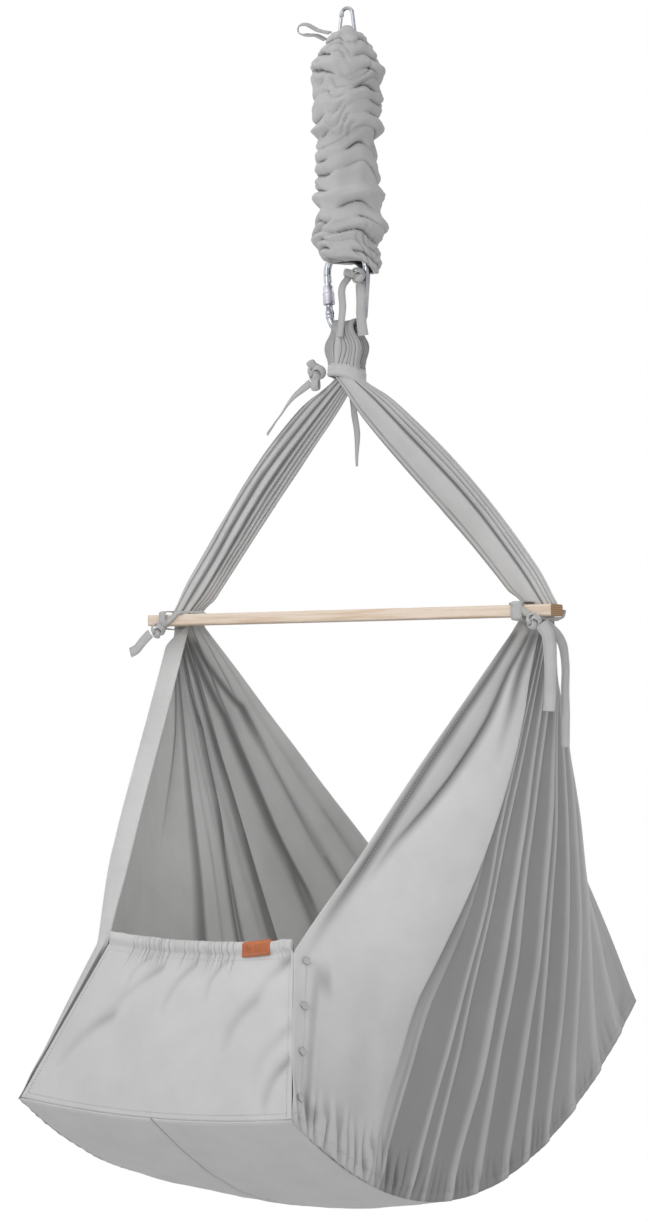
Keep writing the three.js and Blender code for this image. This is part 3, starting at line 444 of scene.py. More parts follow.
class Shading:
    """A material in the making: its nodes and its one main shader."""

    def __init__(self, name: str) -> None:
        """Starts a material.

        Args:
            name: the material's name.
        """
        self.material = bpy.data.materials.new(name)
        self.material.use_nodes = True
        self.tree = self.material.node_tree
        self.shader = self.tree.nodes["Principled BSDF"]

    def place(self, kind: str) -> Socket:
        """Where a point lies: on the cloth's UV map or in the Object's own space."""
        return add_node(self.tree, "TexCoord").outputs[kind]

    def noise(self, where: Socket, scale: float, detail: float = 2.0, roughness: float = 0.5,
              distortion: float = 0.0) -> Socket:
        """Cloudy noise, from 0 to 1."""
        return add_node(self.tree, "TexNoise", None, {
            "Vector": where, "Scale": scale, "Detail": detail, "Roughness": roughness,
            "Distortion": distortion}).outputs["Fac"]

    def wave(self, settings: dict[str, str], where: Socket, scale: float, distortion: float,
             detail: float = 2.0) -> Socket:
        """Even bands or rings, from 0 to 1."""
        return add_node(self.tree, "TexWave", settings, {
            "Vector": where, "Scale": scale, "Distortion": distortion, "Detail": detail}).outputs["Fac"]

    def ranged(self, value: Socket, start: float, end: float, low: float = 0.0, high: float = 1.0) -> Socket:
        """Maps what lies between low and high to what lies between start and end."""
        return add_node(self.tree, "MapRange", None, {
            "Value": value, "From Min": low, "From Max": high, "To Min": start,
            "To Max": end}).outputs["Result"]

    def ramp(self, share: Socket, stops: Sequence[tuple[float, str]]) -> Socket:
        """Maps a share to colours.

        Args:
            share: what is looked up.
            stops: two stops, each a place and an sRGB colour.

        Returns:
            The colour output.
        """
        node = add_node(self.tree, "ValToRGB", None, {"Fac": share})
        for element, (place, colour) in zip(node.color_ramp.elements, stops):
            element.position = place
            element.color = to_linear(colour)
        return node.outputs["Color"]

    def mixed(self, share: Any, first: Any, second: Any) -> Socket:
        """Mixes two colours by a share."""
        return add_node(self.tree, "Mix", {"data_type": "RGBA"}, {0: share, 6: first, 7: second}).outputs[2]

    def bump(self, height: Socket, strength: float, distance: float, **under: Socket) -> Socket:
        """Raises the surface by a height, on top of the Normal of another bump if one is given."""
        return add_node(self.tree, "Bump", None, {
            "Height": height, "Strength": strength, "Distance": distance, **under}).outputs["Normal"]

    def finish(self, inputs: dict[str, Any]) -> bpy.types.Material:
        """Gives the main shader its values and links, and hands over the material."""
        fill(self.tree, self.shader, inputs)
        return self.material


@dataclass(frozen=True)
class Cotton:
    """Plain-woven cotton, garment washed: dull, slightly fuzzy, with a fine even weave."""

    name: str = "woven_cotton"
    colour: str = "#cdcdcd"
    shade: str = "#c2c2c2"
    # Painted shade in folds and creases darkens the colour towards this one
    fold_shade: str = "#6c6c6c"
    thread: float = 1.1 * MM
    weave_depth: float = 0.10 * MM
    rumple_depth: float = 1.0 * MM
    roughness: float = 0.92

    def material(self) -> bpy.types.Material:
        """Builds the woven cotton.

        Returns:
            The material.
        """
        made = Shading(self.name)
        flat = made.place("UV")
        solid = made.place("Object")
        # The threads are drawn about four times coarser than the real 0.3 mm ones, to show up close
        scale = WAVE_LENGTH / self.thread
        warp, weft = (made.wave({"bands_direction": way}, flat, scale, 0.6, 1.0) for way in "XY")
        weave = worked(made.tree, "MULTIPLY", warp, weft)
        # Slubs and a soft unevenness from washing, 30 to 80 mm wide
        cloud = made.noise(solid, 17.0, 5.0, 0.6)
        slub = made.noise(flat, 420.0)
        base = made.ramp(cloud, ((0.3, self.shade), (0.62, self.colour)))
        base = made.mixed(0.35, base, to_linear(self.colour))
        base = made.mixed(made.ranged(slub, 0.0, 0.12, 0.35, 0.75), base, to_linear(self.shade))
        # Painted shade in folds, creases and gaps, read from the crease attribute
        crease = add_node(made.tree, "Attribute", {"attribute_name": "crease"}).outputs["Fac"]
        base = made.mixed(crease, base, to_linear(self.fold_shade))
        threads = made.bump(worked(made.tree, "MULTIPLY_ADD", slub, 0.5, weave), 0.35, self.weave_depth)
        rumpled = made.bump(made.noise(solid, 55.0, 3.0, 0.55), 0.25, self.rumple_depth, Normal=threads)
        return made.finish({"Base Color": base, "Normal": rumpled, "Roughness": self.roughness,
                            "Sheen Weight": 0.12, "Sheen Roughness": 0.5})


@dataclass(frozen=True)
class Steel:
    """Polished and plated steel: bright, sharp reflections, fine wipe marks."""

    name: str = "plated_steel"
    colour: str = "#a8abb0"
    worn: str = "#8b8e94"
    roughness: float = 0.16
    scratch_depth: float = 0.05 * MM

    def material(self) -> bpy.types.Material:
        """Builds the plated steel.

        Returns:
            The material.
        """
        made = Shading(self.name)
        solid = made.place("Object")
        smear = made.noise(solid, 45.0, 3.0)
        base = made.ramp(smear, ((0.35, self.worn), (0.6, self.colour)))
        dull = made.ranged(smear, self.roughness * 0.8, self.roughness * 1.8)
        scratched = made.bump(made.noise(solid, 900.0), 0.12, self.scratch_depth)
        return made.finish({"Base Color": base, "Normal": scratched, "Roughness": dull, "Metallic": 1.0})


@dataclass(frozen=True)
class Wood:
    """Planed pale softwood, unvarnished: long straight grain, browner where the end is cut."""

    name: str = "planed_wood"
    light: str = "#ead9c8"
    dark: str = "#d2b79b"
    end_light: str = "#b08d66"
    end_dark: str = "#86643f"
    half_length: float = 0.3135
    pore_depth: float = 0.2 * MM

    def material(self) -> bpy.types.Material:
        """Builds the wood.

        Returns:
            The material.
        """
        made = Shading(self.name)
        solid = made.place("Object")
        # Grain lines 1.5 to 3 mm apart that run the bar's length
        long = add_node(made.tree, "Mapping", None, {"Vector": solid, "Scale": (2.2, 60.0, 60.0)})
        lines = made.noise(long.outputs["Vector"], 4.0, 6.0, 0.6, 0.4)
        side = made.ramp(lines, ((0.3, self.dark), (0.55, self.light)))
        rings = made.wave({"wave_type": "RINGS", "rings_direction": "X"}, solid, 120.0, 3.0, 3.0)
        end = made.ramp(rings, ((0.2, self.end_dark), (0.8, self.end_light)))
        along = add_node(made.tree, "SeparateXYZ", None, {0: solid}).outputs["X"]
        is_end = worked(made.tree, "GREATER_THAN", worked(made.tree, "ABSOLUTE", along), self.half_length)
        pored = made.bump(made.noise(long.outputs["Vector"], 22.0), 0.3, self.pore_depth)
        return made.finish({"Base Color": made.mixed(is_end, side, end), "Normal": pored,
                            "Roughness": 0.55})


@dataclass(frozen=True)
class Leather:
    """Vegetable-tanned leather: warm brown, clouded and finely pebbled."""

    name: str = "tanned_leather"
    colour: str = "#bd6b3d"
    shade: str = "#9a5029"
    pebble_depth: float = 0.15 * MM

    def material(self) -> bpy.types.Material:
        """Builds the leather.

        Returns:
            The material.
        """
        made = Shading(self.name)
        solid = made.place("Object")
        base = made.ramp(made.noise(solid, 90.0, 5.0, 0.6), ((0.3, self.shade), (0.65, self.colour)))
        # Pores about 0.8 mm across
        pebble = add_node(made.tree, "TexVoronoi", None, {"Vector": solid, "Scale": 1200.0})
        pebbled = made.bump(pebble.outputs["Distance"], 0.5, self.pebble_depth)
        return made.finish({"Base Color": base, "Normal": pebbled, "Roughness": 0.5, "Coat Weight": 0.1})


@dataclass(frozen=True)
class Ribbed:
    """Woven elastic or webbing: ribs across its length."""

    name: str = "ribbed_webbing"
    colour: str = "#dad9d4"
    shade: str = "#b3b2ac"
    rib: float = 1.4 * MM
    rib_depth: float = 0.3 * MM

    def material(self) -> bpy.types.Material:
        """Builds the ribbed weave.

        Returns:
            The material.
        """
        made = Shading(self.name)
        ribs = made.wave({"bands_direction": "Y"}, made.place("UV"), WAVE_LENGTH / self.rib, 0.4)
        # The ribs' valleys are painted darker, as shade, in step with their bump
        base = made.ramp(ribs, ((0.1, self.shade), (0.7, self.colour)))
        return made.finish({"Base Color": base, "Normal": made.bump(ribs, 0.6, self.rib_depth),
                            "Roughness": 0.85})


class Finish(Enum):
    """The finishes that the cradle's pieces take."""

    COTTON = Cotton()
    # The sleeve's cotton, painted slightly darker as shade, with darker painted shade in its creases
    SLEEVE = Cotton(name="sleeve_cotton", colour="#cbcbcb", shade="#bdbdbd", fold_shade="#585858")
    TAPE = Cotton(name="cotton_tape", colour="#c2c2c2", shade="#aeaeae", thread=0.8 * MM)
    THREAD = Cotton(name="sewing_thread", colour="#b2b2b2", shade="#9c9c9c", thread=0.6 * MM)
    TICKING = Cotton(name="mattress_ticking", colour="#e9e6df", shade="#dedad1", fold_shade="#bdb8ac",
                     thread=1.3 * MM)
    STEEL = Steel()
    SPRING = Steel(name="drawn_spring_steel", colour="#a9abad", worn="#83858a", roughness=0.3)
    KNURL = Steel(name="anodised_lock_steel", colour="#c3c1cb", worn="#98969f", roughness=0.32)
    WOOD = Wood()
    LEATHER = Leather()
    WEBBING = Ribbed()
    SNAP = Steel(name="satin_snap_steel", colour="#b9b9b9", worn="#a9a9a9", roughness=0.6)
    ELASTIC = Ribbed(name="woven_elastic", colour="#f0efec", shade="#cfcdc8", rib=1.0 * MM)


class Body(Enum):
    """The moving bodies that pieces ride on."""

    HOOK = "hook"
    HOOK_GATE = "hook_gate"
    SPRING_TOP = "spring_top"
    SPRING_BOTTOM = "spring_bottom"
    CARABINER = "lower_carabiner"
    LOWER_GATE = "lower_gate"
    LOCK = "lock_ring"
    CRADLE = "cradle"
    FLAP = "front_flap"


MATERIALS: dict[str, bpy.types.Material] = {}


def finish_of(finish: Finish) -> bpy.types.Material:
    """The finish's material, made once."""
    if finish.name not in MATERIALS:
        MATERIALS[finish.name] = finish.value.material()
    return MATERIALS[finish.name]


def dress(name: str, mesh: Mesh, finish: Finish, body: Body | None, slot: str,
          replaces: Sequence[str] = (), wall: float = 0.0, offset: float = 0.0,
          sharp: float = 180.0) -> Piece:
    """Makes a mesh in the making into a named piece that rides on a body.

    Args:
        name: the piece's name.
        mesh: what was modelled.
        finish: its finish.
        body: what it rides on, or None where it rides on none.
        slot: a material slot's name; not used.
        replaces: the frame's nodes that it stands for.
        wall: the thickness given to a sheet.
        offset: which side the thickness goes to.
        sharp: edges over this angle in degrees stay sharp.

    Returns:
        The piece.
    """
    data = bpy.data.meshes.new(name)
    mesh.to_mesh(data)
    mesh.free()
    data.polygons.foreach_set("use_smooth", [True] * len(data.polygons))
    if sharp < 180:
        data.set_sharp_from_angle(angle=radians(sharp))
    data.materials.append(finish_of(finish))
    piece = bpy.data.objects.new(name, data)
    bpy.context.scene.collection.objects.link(piece)
    if wall:
        solid = piece.modifiers.new("wall", "SOLIDIFY")
        solid.thickness = wall
        solid.offset = offset
        solid.use_even_offset = False
    if body is not None:
        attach(piece, body.value)
    if replaces:
        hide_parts(*replaces)
    LOG.info("%s: %d faces", name, len(data.polygons))
    return piece


def cloth(name: str, mesh: Mesh, node: str, wall: float, offset: float = -1.0,
          body: Body = Body.CRADLE) -> Piece:
    """Dresses a mesh as one piece of the cradle's own cotton, for one node of the frame."""
    return dress(name, mesh, Finish.COTTON, body, "cradle_cotton", [node], wall=wall, offset=offset)


def sewing(name: str, rows: Sequence[Mesh], body: Body = Body.CRADLE, slot: str = "cradle_cotton") -> Piece:
    """Dresses the rows of stitches that hold a piece as one piece of thread."""
    return dress(f"{name}_stitches", joined(rows), Finish.THREAD, body, slot)


# Measures shared with the frame

@dataclass(frozen=True)
class EndPanel:
    """One end panel of the bag: how high its top edge stands and how far its corners lean in."""

    end: int
    lean: float
    pull_in: float
    rise: float = 0.184
    belly: float = 0.014
    top_dip: float = 0.008
    side_return: float = 0.020
    inset: float = 0.005


FRONT = EndPanel(-1, 0.095, 0.062)
BACK = EndPanel(1, 0.086, 0.045)


@dataclass(frozen=True)
class Bag:
    """The bag's main lines: its lower seam, its corners and where its fans gather."""

    half_width: float = 0.200
    half_length: float = 0.424
    seam_drop: float = 1.533
    seam_rise: float = 0.171
    tilt: float = 0.038
    crown_middle: float = 0.022
    crown_end: float = 0.012
    fan_side: float = 0.2003
    fan_top: float = -0.811
    bundle_y: float = 0.024
    bundle_x: float = 0.297
    edge_x: float = 0.249
    gather_depth: float = 0.0027
    kink_share: float = 0.69
    kink_reach: float = 0.3

    def seam(self, y: float) -> float:
        """The lower seam's height at a place along the bag."""
        share = y / self.half_length
        return -self.seam_drop + self.seam_rise * share * share + self.tilt * share

    def corner(self, panel: EndPanel) -> tuple[Vector, Vector]:
        """A panel's corner at the seam and at its top, on the +X side.

        Args:
            panel: which end panel.

        Returns:
            The corner at the seam and the one at the top.
        """
        y = panel.end * self.half_length
        foot = Vector((self.fan_side, y, self.seam(y) + 0.0003))
        top = Vector((self.fan_side - panel.pull_in, y - panel.end * panel.lean, self.seam(y) + panel.rise))
        return foot, top

    def fan(self, turn: float, share: float) -> Vector:
        """A point of a fan's inner face on the +X side.

        Args:
            turn: from 0 at the front edge to 1 at the back edge.
            share: from 0 at the bar to 1 at the lower seam.

        Returns:
            The point.
        """
        angle = pi * turn
        top = Vector((lerp(self.edge_x, self.bundle_x, sin(angle)),
                      self.bundle_y - self.gather_depth * cos(angle), self.fan_top))
        y = lerp(-self.half_length, self.half_length, turn)
        foot = Vector((self.fan_side, y, self.seam(y) + 0.0003))
        point = top.lerp(foot, share)
        for panel in (FRONT, BACK):
            reach = turn if panel.end < 0 else 1 - turn
            pull = max(0.0, 1 - reach / self.kink_reach) ** 2
            low, high = self.corner(panel)
            edge_top = Vector((self.edge_x, self.bundle_y + panel.end * self.gather_depth, self.fan_top))
            if share < self.kink_share:
                edge = edge_top.lerp(high, share / self.kink_share)
            else:
                edge = high.lerp(low, (share - self.kink_share) / (1 - self.kink_share))
            point += (edge - edge_top.lerp(low, share)) * pull
        return point

    def bottom(self, across: float, y: float) -> Vector:
        """The bottom's upper face: across runs from -1 to 1.

        Args:
            across: from -1 to 1.
            y: the place along the bag.

        Returns:
            The point of its upper face.
        """
        share = abs(y) / self.half_length
        crown = lerp(self.crown_middle, self.crown_end, share * share)
        return Vector((across * self.half_width, y, self.seam(y) - crown * (1 - across * across)))


BAG = Bag()


# Hooks

@dataclass(frozen=True)
class HookLines:
    """A hook's lines in its plane: its lean, its gate's direction, its nose and the gate's ends."""

    spread: float
    along: Vector
    nose: Vector
    pivot: Vector
    shoulder: Vector


@dataclass
class SnapHook:
    """A bent-wire hook with a sprung gate, drawn in a plane: its hinge end at the plane's origin."""

    name: str
    gate_name: str
    rivet_name: str
    rod: float
    hinge_radius: float
    nose_radius: float
    length: float
    hinge_z: float
    is_hinge_up: bool
    body: Body
    gate_body: Body
    slot: str = "hook_steel"
    # How far a moving face stands off a fixed one
    play: float = 0.3 * MM

    def lines(self) -> HookLines:
        """Works out the hook's lines from its sizes.

        Returns:
            The lines, in the hook's own plane.
        """
        distance = self.length - self.hinge_radius - self.nose_radius - self.rod
        spread = asin((self.nose_radius - self.hinge_radius) / distance)
        side = Vector((-cos(spread), -sin(spread)))
        along = Vector((-sin(spread), cos(spread)))
        nose = Vector((0, distance))
        pivot = side * self.hinge_radius + along * 0.3 * self.rod
        shoulder = nose + side * self.nose_radius - along * 0.1 * self.rod
        return HookLines(spread, along, nose, pivot, shoulder)

    def stand(self, flat: Vector, out: float) -> Vector:
        """Puts a point of the plane, and its height off it, into the world."""
        if self.is_hinge_up:
            return Vector((flat.x, out, self.hinge_z - flat.y))
        return Vector((flat.x, -out, self.hinge_z + flat.y))

    def rail(self, points: Sequence[Vector], radius: float, low: float, high: float, steps: int,
             round_end: float = 0.0) -> Mesh:
        """Wire along points of the plane, cut flat at two heights off it.

        Args:
            points: the centre line.
            radius: the wire's radius.
            low: the lowest height off the plane that is kept.
            high: the highest.
            steps: faces along.
            round_end: how far each end is rounded.

        Returns:
            The mesh in the making.
        """
        size = length_of(points)
        deep = [Vector((p.x, p.y, 0)) for p in points]

        def place(across: float, along: float) -> Vector:
            """A point of the wire's skin."""
            end = min(along, 1 - along)
            at = 0.0 if along < 0.5 else 1.0
            run = max(0.0, (end * steps - 1) / (steps - 2)) if end < 0.5 else 0.5
            spot = run if at == 0.0 else 1 - run
            centre = curve_point(deep, spot)
            way = heading(deep, spot, 0.004)
            side = Vector((way.y, -way.x, 0))
            grow = 1.0
            if round_end:
                into = min(spot, 1 - spot) * size / round_end
                grow = sqrt(max(0.0, 1 - (1 - min(1.0, into)) ** 2)) * 0.3 + 0.7
            angle = tau * across
            wide = radius * grow * cos(angle)
            out = min(high, max(low, radius * grow * sin(angle)))
            if end == 0:
                wide, out = 0.0, min(high, max(low, 0.0))
            flat = centre + side * wide
            return self.stand(Vector((flat.x, flat.y)), out)

        return wrap(32, steps, place, (tau * radius, size))

    def bend(self, centre: Vector, radius: float, start: float, end: float, count: int) -> list[Vector]:
        """Points of an arc in the plane."""
        return [centre + Vector((cos(angle), sin(angle))) * radius
                for angle in spaced(count, start, end)]

    def build(self) -> None:
        """Builds the body, the gate and the rivet."""
        lines = self.lines()
        spread, along, pivot, shoulder = lines.spread, lines.along, lines.pivot, lines.shoulder
        half = self.rod / 2
        tongue = 0.2 * self.rod
        slot = tongue + self.play

        def moved(point: Vector, share: float) -> Vector:
            """A point moved along the gate by a share of the wire's thickness."""
            return point + along * share * self.rod

        hinge_bend = self.bend(Vector((0, 0)), self.hinge_radius, pi + spread, tau - spread, 13)
        nose_bend = self.bend(lines.nose, self.nose_radius, -spread, pi + spread, 17)
        split = moved(pivot, -0.8)
        body = self.rail([moved(split, -0.02), *hinge_bend[1:], *nose_bend], half, -half, half, 150)
        ear_line = [moved(split, -0.1), moved(pivot, 0.5)]
        ears = [self.rail(ear_line, half, slot, half, 12, half),
                self.rail(ear_line, half, -half, -slot, 12, half)]
        nose = self.rail([moved(shoulder, 0.1), moved(shoulder, -0.8)], half, -tongue, tongue, 12)
        self.forge(self.name, joined([body, *ears, nose]), self.body)

        gate_length = (shoulder - pivot).dot(along) - 2 * self.play
        gate_top = pivot + along * gate_length
        radius = half * 0.92
        foot = self.rail([moved(pivot, -0.5), moved(pivot, 0.8)], radius, -tongue, tongue, 10)
        shaft = self.rail([moved(pivot, 0.75), moved(gate_top, -0.8)], radius, -radius, radius, 20)
        fork_line = [moved(gate_top, -0.85), gate_top]
        forks = [self.rail(fork_line, radius, slot, radius, 8),
                 self.rail(fork_line, radius, -radius, -slot, 8)]
        self.forge(self.gate_name, joined([foot, shaft, *forks]), self.gate_body)

        pin = 0.22 * self.rod
        start = half + self.play
        dome = 0.12 * self.rod
        head = 1.6 * pin
        # Half of the rivet's outline, from its middle to the top of its domed head
        upper = [(pin, start), (head, start), (head * 0.9, start + dome * 0.5),
                 (head * 0.55, start + dome * 0.9), (0, start + dome)]
        profile = [(reach, -height) for reach, height in reversed(upper)] + upper
        self.forge(self.rivet_name, point_along(lathe(profile, 24), Vector((0, 1, 0)), self.stand(pivot, 0)),
                   self.body)

    def forge(self, name: str, mesh: Mesh, body: Body) -> None:
        """Dresses one steel piece of the hook."""
        dress(name, mesh, Finish.STEEL, body, self.slot, [name], sharp=40)


@dataclass
class LockSleeve:
    """Knurled ring with a smooth collar round the carabiner's gate."""

    hook: SnapHook
    start: float = 0.011
    knurl_length: float = 0.016
    collar_length: float = 0.009
    knurl_radius: float = 0.0078
    collar_radius: float = 0.0069
    bore_radius: float = 0.0053
    rim: float = 0.0006
    groove: float = 0.0005
    diamonds: int = 20

    def build(self) -> None:
        """Builds the ring as one closed skin: outside, over the rim, and back down its bore."""
        lines = self.hook.lines()
        total = self.knurl_length + self.collar_length
        rim = self.rim
        bore, knurl, collar = self.bore_radius, self.knurl_radius, self.collar_radius
        profile = [(bore, 0.0), (knurl - rim, 0.0)]
        profile += [(knurl, height) for height in spaced(15, rim, self.knurl_length - rim)]
        profile += [(knurl - rim, self.knurl_length), (collar, self.knurl_length + 0.2 * MM),
                    (collar, total - rim), (collar - rim, total), (bore, total), (bore, total * 0.5),
                    (bore, 0.0)]
        last = len(profile) - 1

        def place(across: float, along: float) -> Vector:
            """A point of the ring, its axis on +Z."""
            radius, height = profile[round(along * last)]
            angle = tau * across
            if radius == self.knurl_radius and rim < height < self.knurl_length - rim:
                turn = self.diamonds * across
                rise = height / self.knurl_length * 6
                cut = abs(sin(pi * (turn + rise))) * abs(sin(pi * (turn - rise)))
                radius -= self.groove * (1 - cut)
            return Vector((radius * cos(angle), radius * sin(angle), height))

        mesh = wrap(160, last, place, (0.05, total))
        place_at = self.hook.stand(lines.pivot + lines.along * self.start, 0)
        way = self.hook.stand(lines.along, 0) - self.hook.stand(Vector((0, 0)), 0)
        dress("lock_sleeve", point_along(mesh, way, place_at), Finish.KNURL, Body.LOCK, "lock_steel",
              ["lock_sleeve"], sharp=50)


# Spring

@dataclass
class SpringUnit:
    """Extension spring between two eye fittings, with a slack safety strap inside it."""

    upper_eye: float = -0.0662
    lower_eye: float = -0.3158
    coil_top: float = -0.0875
    coil_bottom: float = -0.2945
    mean_radius: float = 0.017
    wire: float = 0.005
    turns: int = 24
    eye_radius: float = 0.009
    shank_radius: float = 0.0032
    shank_length: float = 0.009
    flange: float = 0.003
    plug_length: float = 0.012
    strap_width: float = 0.012
    strap_waves: int = 9
    strap_swing: float = 0.007
    strap_length: float = 0.33
    soft_edge: float = 0.0006

    def eye(self, name: str, height: float, sign: int, body: Body) -> None:
        """Builds one eye with its shank, flange and plug.

        Args:
            name: the piece's name.
            height: the eye's centre.
            sign: 1 where the plug points up.
            body: what it rides on.
        """
        outer = self.mean_radius + self.wire / 2
        plug = (self.mean_radius - self.wire / 2) * 0.92
        start = self.eye_radius + self.shank_length
        end = start + self.flange
        tip = end + self.plug_length
        soft = self.soft_edge
        profile = [(0, self.eye_radius), (self.shank_radius, self.eye_radius), (self.shank_radius, start),
                   (outer - soft, start), (outer, start + soft), (outer, end - soft), (outer - soft, end),
                   (plug, end), (plug, tip - soft), (plug - soft, tip), (0, tip)]
        stem = lathe(profile, 40)
        if sign < 0:
            point_along(stem, Vector((0, 0, -1)), Vector())
        ring_line = []
        for index in range(24):
            angle = tau * index / 24
            ring_line.append(Vector((0, self.eye_radius * cos(angle), self.eye_radius * sin(angle))))
        ring = loop_tube(ring_line, round_section(self.wire / 2), lambda along, middle: Vector((1, 0, 0)),
                         20, 72)
        mesh = joined([stem, ring])
        bmesh.ops.translate(mesh, verts=mesh.verts[:], vec=(0, 0, height))
        dress(name, mesh, Finish.STEEL, body, "hook_steel", [name], sharp=35)

    def coil(self) -> None:
        """Builds the coil as one unbroken wire."""
        steps = self.turns * 28
        start = self.coil_top - self.wire / 2
        fall = self.coil_top - self.coil_bottom - self.wire

        def place(across: float, along: float) -> Vector:
            """A point of the wire's skin."""
            turn = tau * self.turns * along
            outward = Vector((cos(turn), sin(turn), 0))
            centre = outward * self.mean_radius + Vector((0, 0, start - fall * along))
            radius = 0.0 if along in (0.0, 1.0) else self.wire / 2
            angle = tau * across
            return centre + outward * radius * cos(angle) + Vector((0, 0, radius * sin(angle)))

        piece = dress("coil_wire", wrap(12, steps, place, (0.016, 2.5)), Finish.SPRING, None, "spring_steel",
                      ["coil_spring"])
        self.stretch(piece, self.coil_top, self.coil_bottom)

    def strap(self) -> None:
        """Builds the slack strap, folded to and fro inside the coil."""
        top = self.coil_top - self.plug_length - self.soft_edge
        bottom = self.coil_bottom + self.plug_length + self.soft_edge

        def place(across: float, along: float) -> Vector:
            """A point of the strap's middle face."""
            swing = self.strap_swing * sin(tau * self.strap_waves * along)
            return Vector((swing, (across - 0.5) * self.strap_width, lerp(top, bottom, along)))

        mesh = patch(4, self.strap_waves * 20, place, (self.strap_width, self.strap_length))
        piece = dress("slack_strap", mesh, Finish.WEBBING, None, "webbing", ["safety_strap"], wall=1.4 * MM)
        self.stretch(piece, top, bottom)

    def stretch(self, piece: Piece, top: float, bottom: float) -> None:
        """Bakes the piece's transform into its mesh."""
        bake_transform(piece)

    def build(self) -> None:
        """Builds the fittings, the coil and the strap."""
        self.eye("spring_upper_eye", self.upper_eye, -1, Body.SPRING_TOP)
        self.eye("spring_lower_eye", self.lower_eye, 1, Body.SPRING_BOTTOM)
        self.coil()
        self.strap()


@dataclass
class Sleeve:
    """Cotton tube pushed up over the spring into soft, irregular rolls."""

    top: float = 0.033
    bottom: float = 0.341
    wall: float = 0.0014
    # How far the lower hem hangs at its lobe, how far apart the rolls lie and how far they swell
    lobe: float = 0.019
    roll_pitch: float = 0.0225
    swell: float = 0.0145
    # Drop below the hook's seat, left reach and right reach of the rolls as they show from the front
    outline: tuple[tuple[float, float, float], ...] = (
        (0.033, 0.022, 0.022), (0.040, 0.026, 0.027), (0.049, 0.031, 0.034), (0.067, 0.044, 0.040),
        (0.086, 0.050, 0.050), (0.104, 0.045, 0.043), (0.122, 0.050, 0.046), (0.140, 0.044, 0.045),
        (0.159, 0.046, 0.049), (0.177, 0.038, 0.036), (0.195, 0.045, 0.040), (0.214, 0.043, 0.044),
        (0.232, 0.040, 0.045), (0.250, 0.040, 0.052), (0.268, 0.034, 0.045), (0.287, 0.035, 0.057),
        (0.305, 0.048, 0.039), (0.323, 0.033, 0.048), (0.341, 0.024, 0.044))

    def reach(self, drop: float) -> tuple[float, float]:
        """The left and right reach at a drop, between the outline's rows."""
        for before, after in zip(self.outline, self.outline[1:]):
            if drop <= after[0]:
                share = smooth(drop, before[0], after[0])
                return lerp(before[1], after[1], share), lerp(before[2], after[2], share)
        return self.outline[-1][1], self.outline[-1][2]

    def roll(self, angle: float, drop: float) -> float:
        """How far the cloth is rolled out at a place: 0 in a crease, about 1 on a roll.

        Args:
            angle: the angle round the sleeve.
            drop: the drop below the hook's seat.

        Returns:
            0 in a crease, about 1 on a roll.
        """
        side, front = cos(angle), sin(angle)
        warp = 1.3 * noise.noise(Vector((0.9 * side, 0.9 * front, drop * 10 + 3)))
        warp += 0.30 * sin(angle + 1.4) + 0.14 * sin(3 * angle + drop * 40)
        phase = drop / self.roll_pitch + warp + 1.3 * smooth(drop, 0.285, 0.335)
        number = floor(phase)
        share = phase - number

        def depth_of(crease: int) -> float:
            """How deep one crease is on this side of the sleeve."""
            turned = noise.noise(Vector((1.1 * side + crease * 3.7, 1.1 * front, crease * 1.31)))
            return smooth(turned, -0.30, 0.22)

        size = 0.85 + 0.25 * noise.noise(Vector((number * 5.3, 0.5, 0.5)))
        lump = size * sin(pi * share) ** 0.45
        deep = lerp(depth_of(number), depth_of(number + 1), smooth(share, 0.3, 0.7))
        height = lerp(0.80 * size + 0.1 * lump, lump, deep)
        slant = drop / 0.015 + 2.2 * noise.noise(Vector((1.6 * side + 4, 1.6 * front, drop * 16)))
        part = slant - floor(slant)
        second = smooth(noise.noise(Vector((1.3 * side, 1.3 * front + 8, drop * 20))), 0.02, 0.35)
        return height - 0.34 * second * (1 - sin(pi * part) ** 0.5)

    def place(self, across: float, along: float) -> Vector:
        """A point of the sleeve's outer face.

        Args:
            across: the share round.
            along: the share down.

        Returns:
            The point.
        """
        angle = tau * across
        drop = lerp(self.top, self.bottom, along)
        left, right = self.reach(drop)
        side = 0.5 - 0.5 * cos(angle - pi)
        radius = lerp(right, left, 1 - side)
        depth_radius = 0.5 * (left + right)
        open_share = smooth(drop, self.top, self.top + 0.02)
        calm = open_share * lerp(1.0, 0.75, smooth(drop, 0.30, 0.341))
        swell = self.swell * (self.roll(angle, drop) - 0.72) * calm
        swell += 0.003 * noise.noise(Vector((2 * cos(angle), 2 * sin(angle), drop * 30))) * calm
        hang = self.lobe * max(0.0, cos(angle - 0.3)) ** 3 * smooth(along, 0.72, 1.0)
        grow = 1 + swell / max(radius, 0.01)
        tuck = smooth(along, 0.975, 1.0)
        wide = radius * grow * lerp(1.0, 0.93, tuck)
        deep = min(depth_radius, 0.046) * grow * lerp(1.0, 0.22, tuck)
        peak = exp(-((cos(angle - 5.3) - 1) / 0.10) ** 2) * (1 - smooth(along, 0.0, 0.05))
        rise = 0.008 * peak + 0.005 * tuck
        return Vector((wide * cos(angle) * (1 - 0.1 * peak), deep * sin(angle) * (1 - 0.1 * peak),
                       rise - drop - hang))

    def crease(self, across: float, along: float) -> float:
        """Painted shade in the creases between the rolls, from how deep in a roll a place lies."""
        angle = tau * across
        drop = lerp(self.top, self.bottom, along)
        return (1 - smooth(self.roll(angle, drop), 0.05, 0.56)) * smooth(drop, self.top, self.top + 0.02)

    def build(self) -> None:
        """Builds the sleeve."""
        mesh = wrap(170, 230, self.place, (0.29, 0.62), self.crease)
        piece = dress("ruched_sleeve", mesh, Finish.SLEEVE, None, "sleeve_cotton", ["spring_sleeve"],
                      wall=self.wall, offset=-1.0)
        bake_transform(piece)


# Tapes and knots

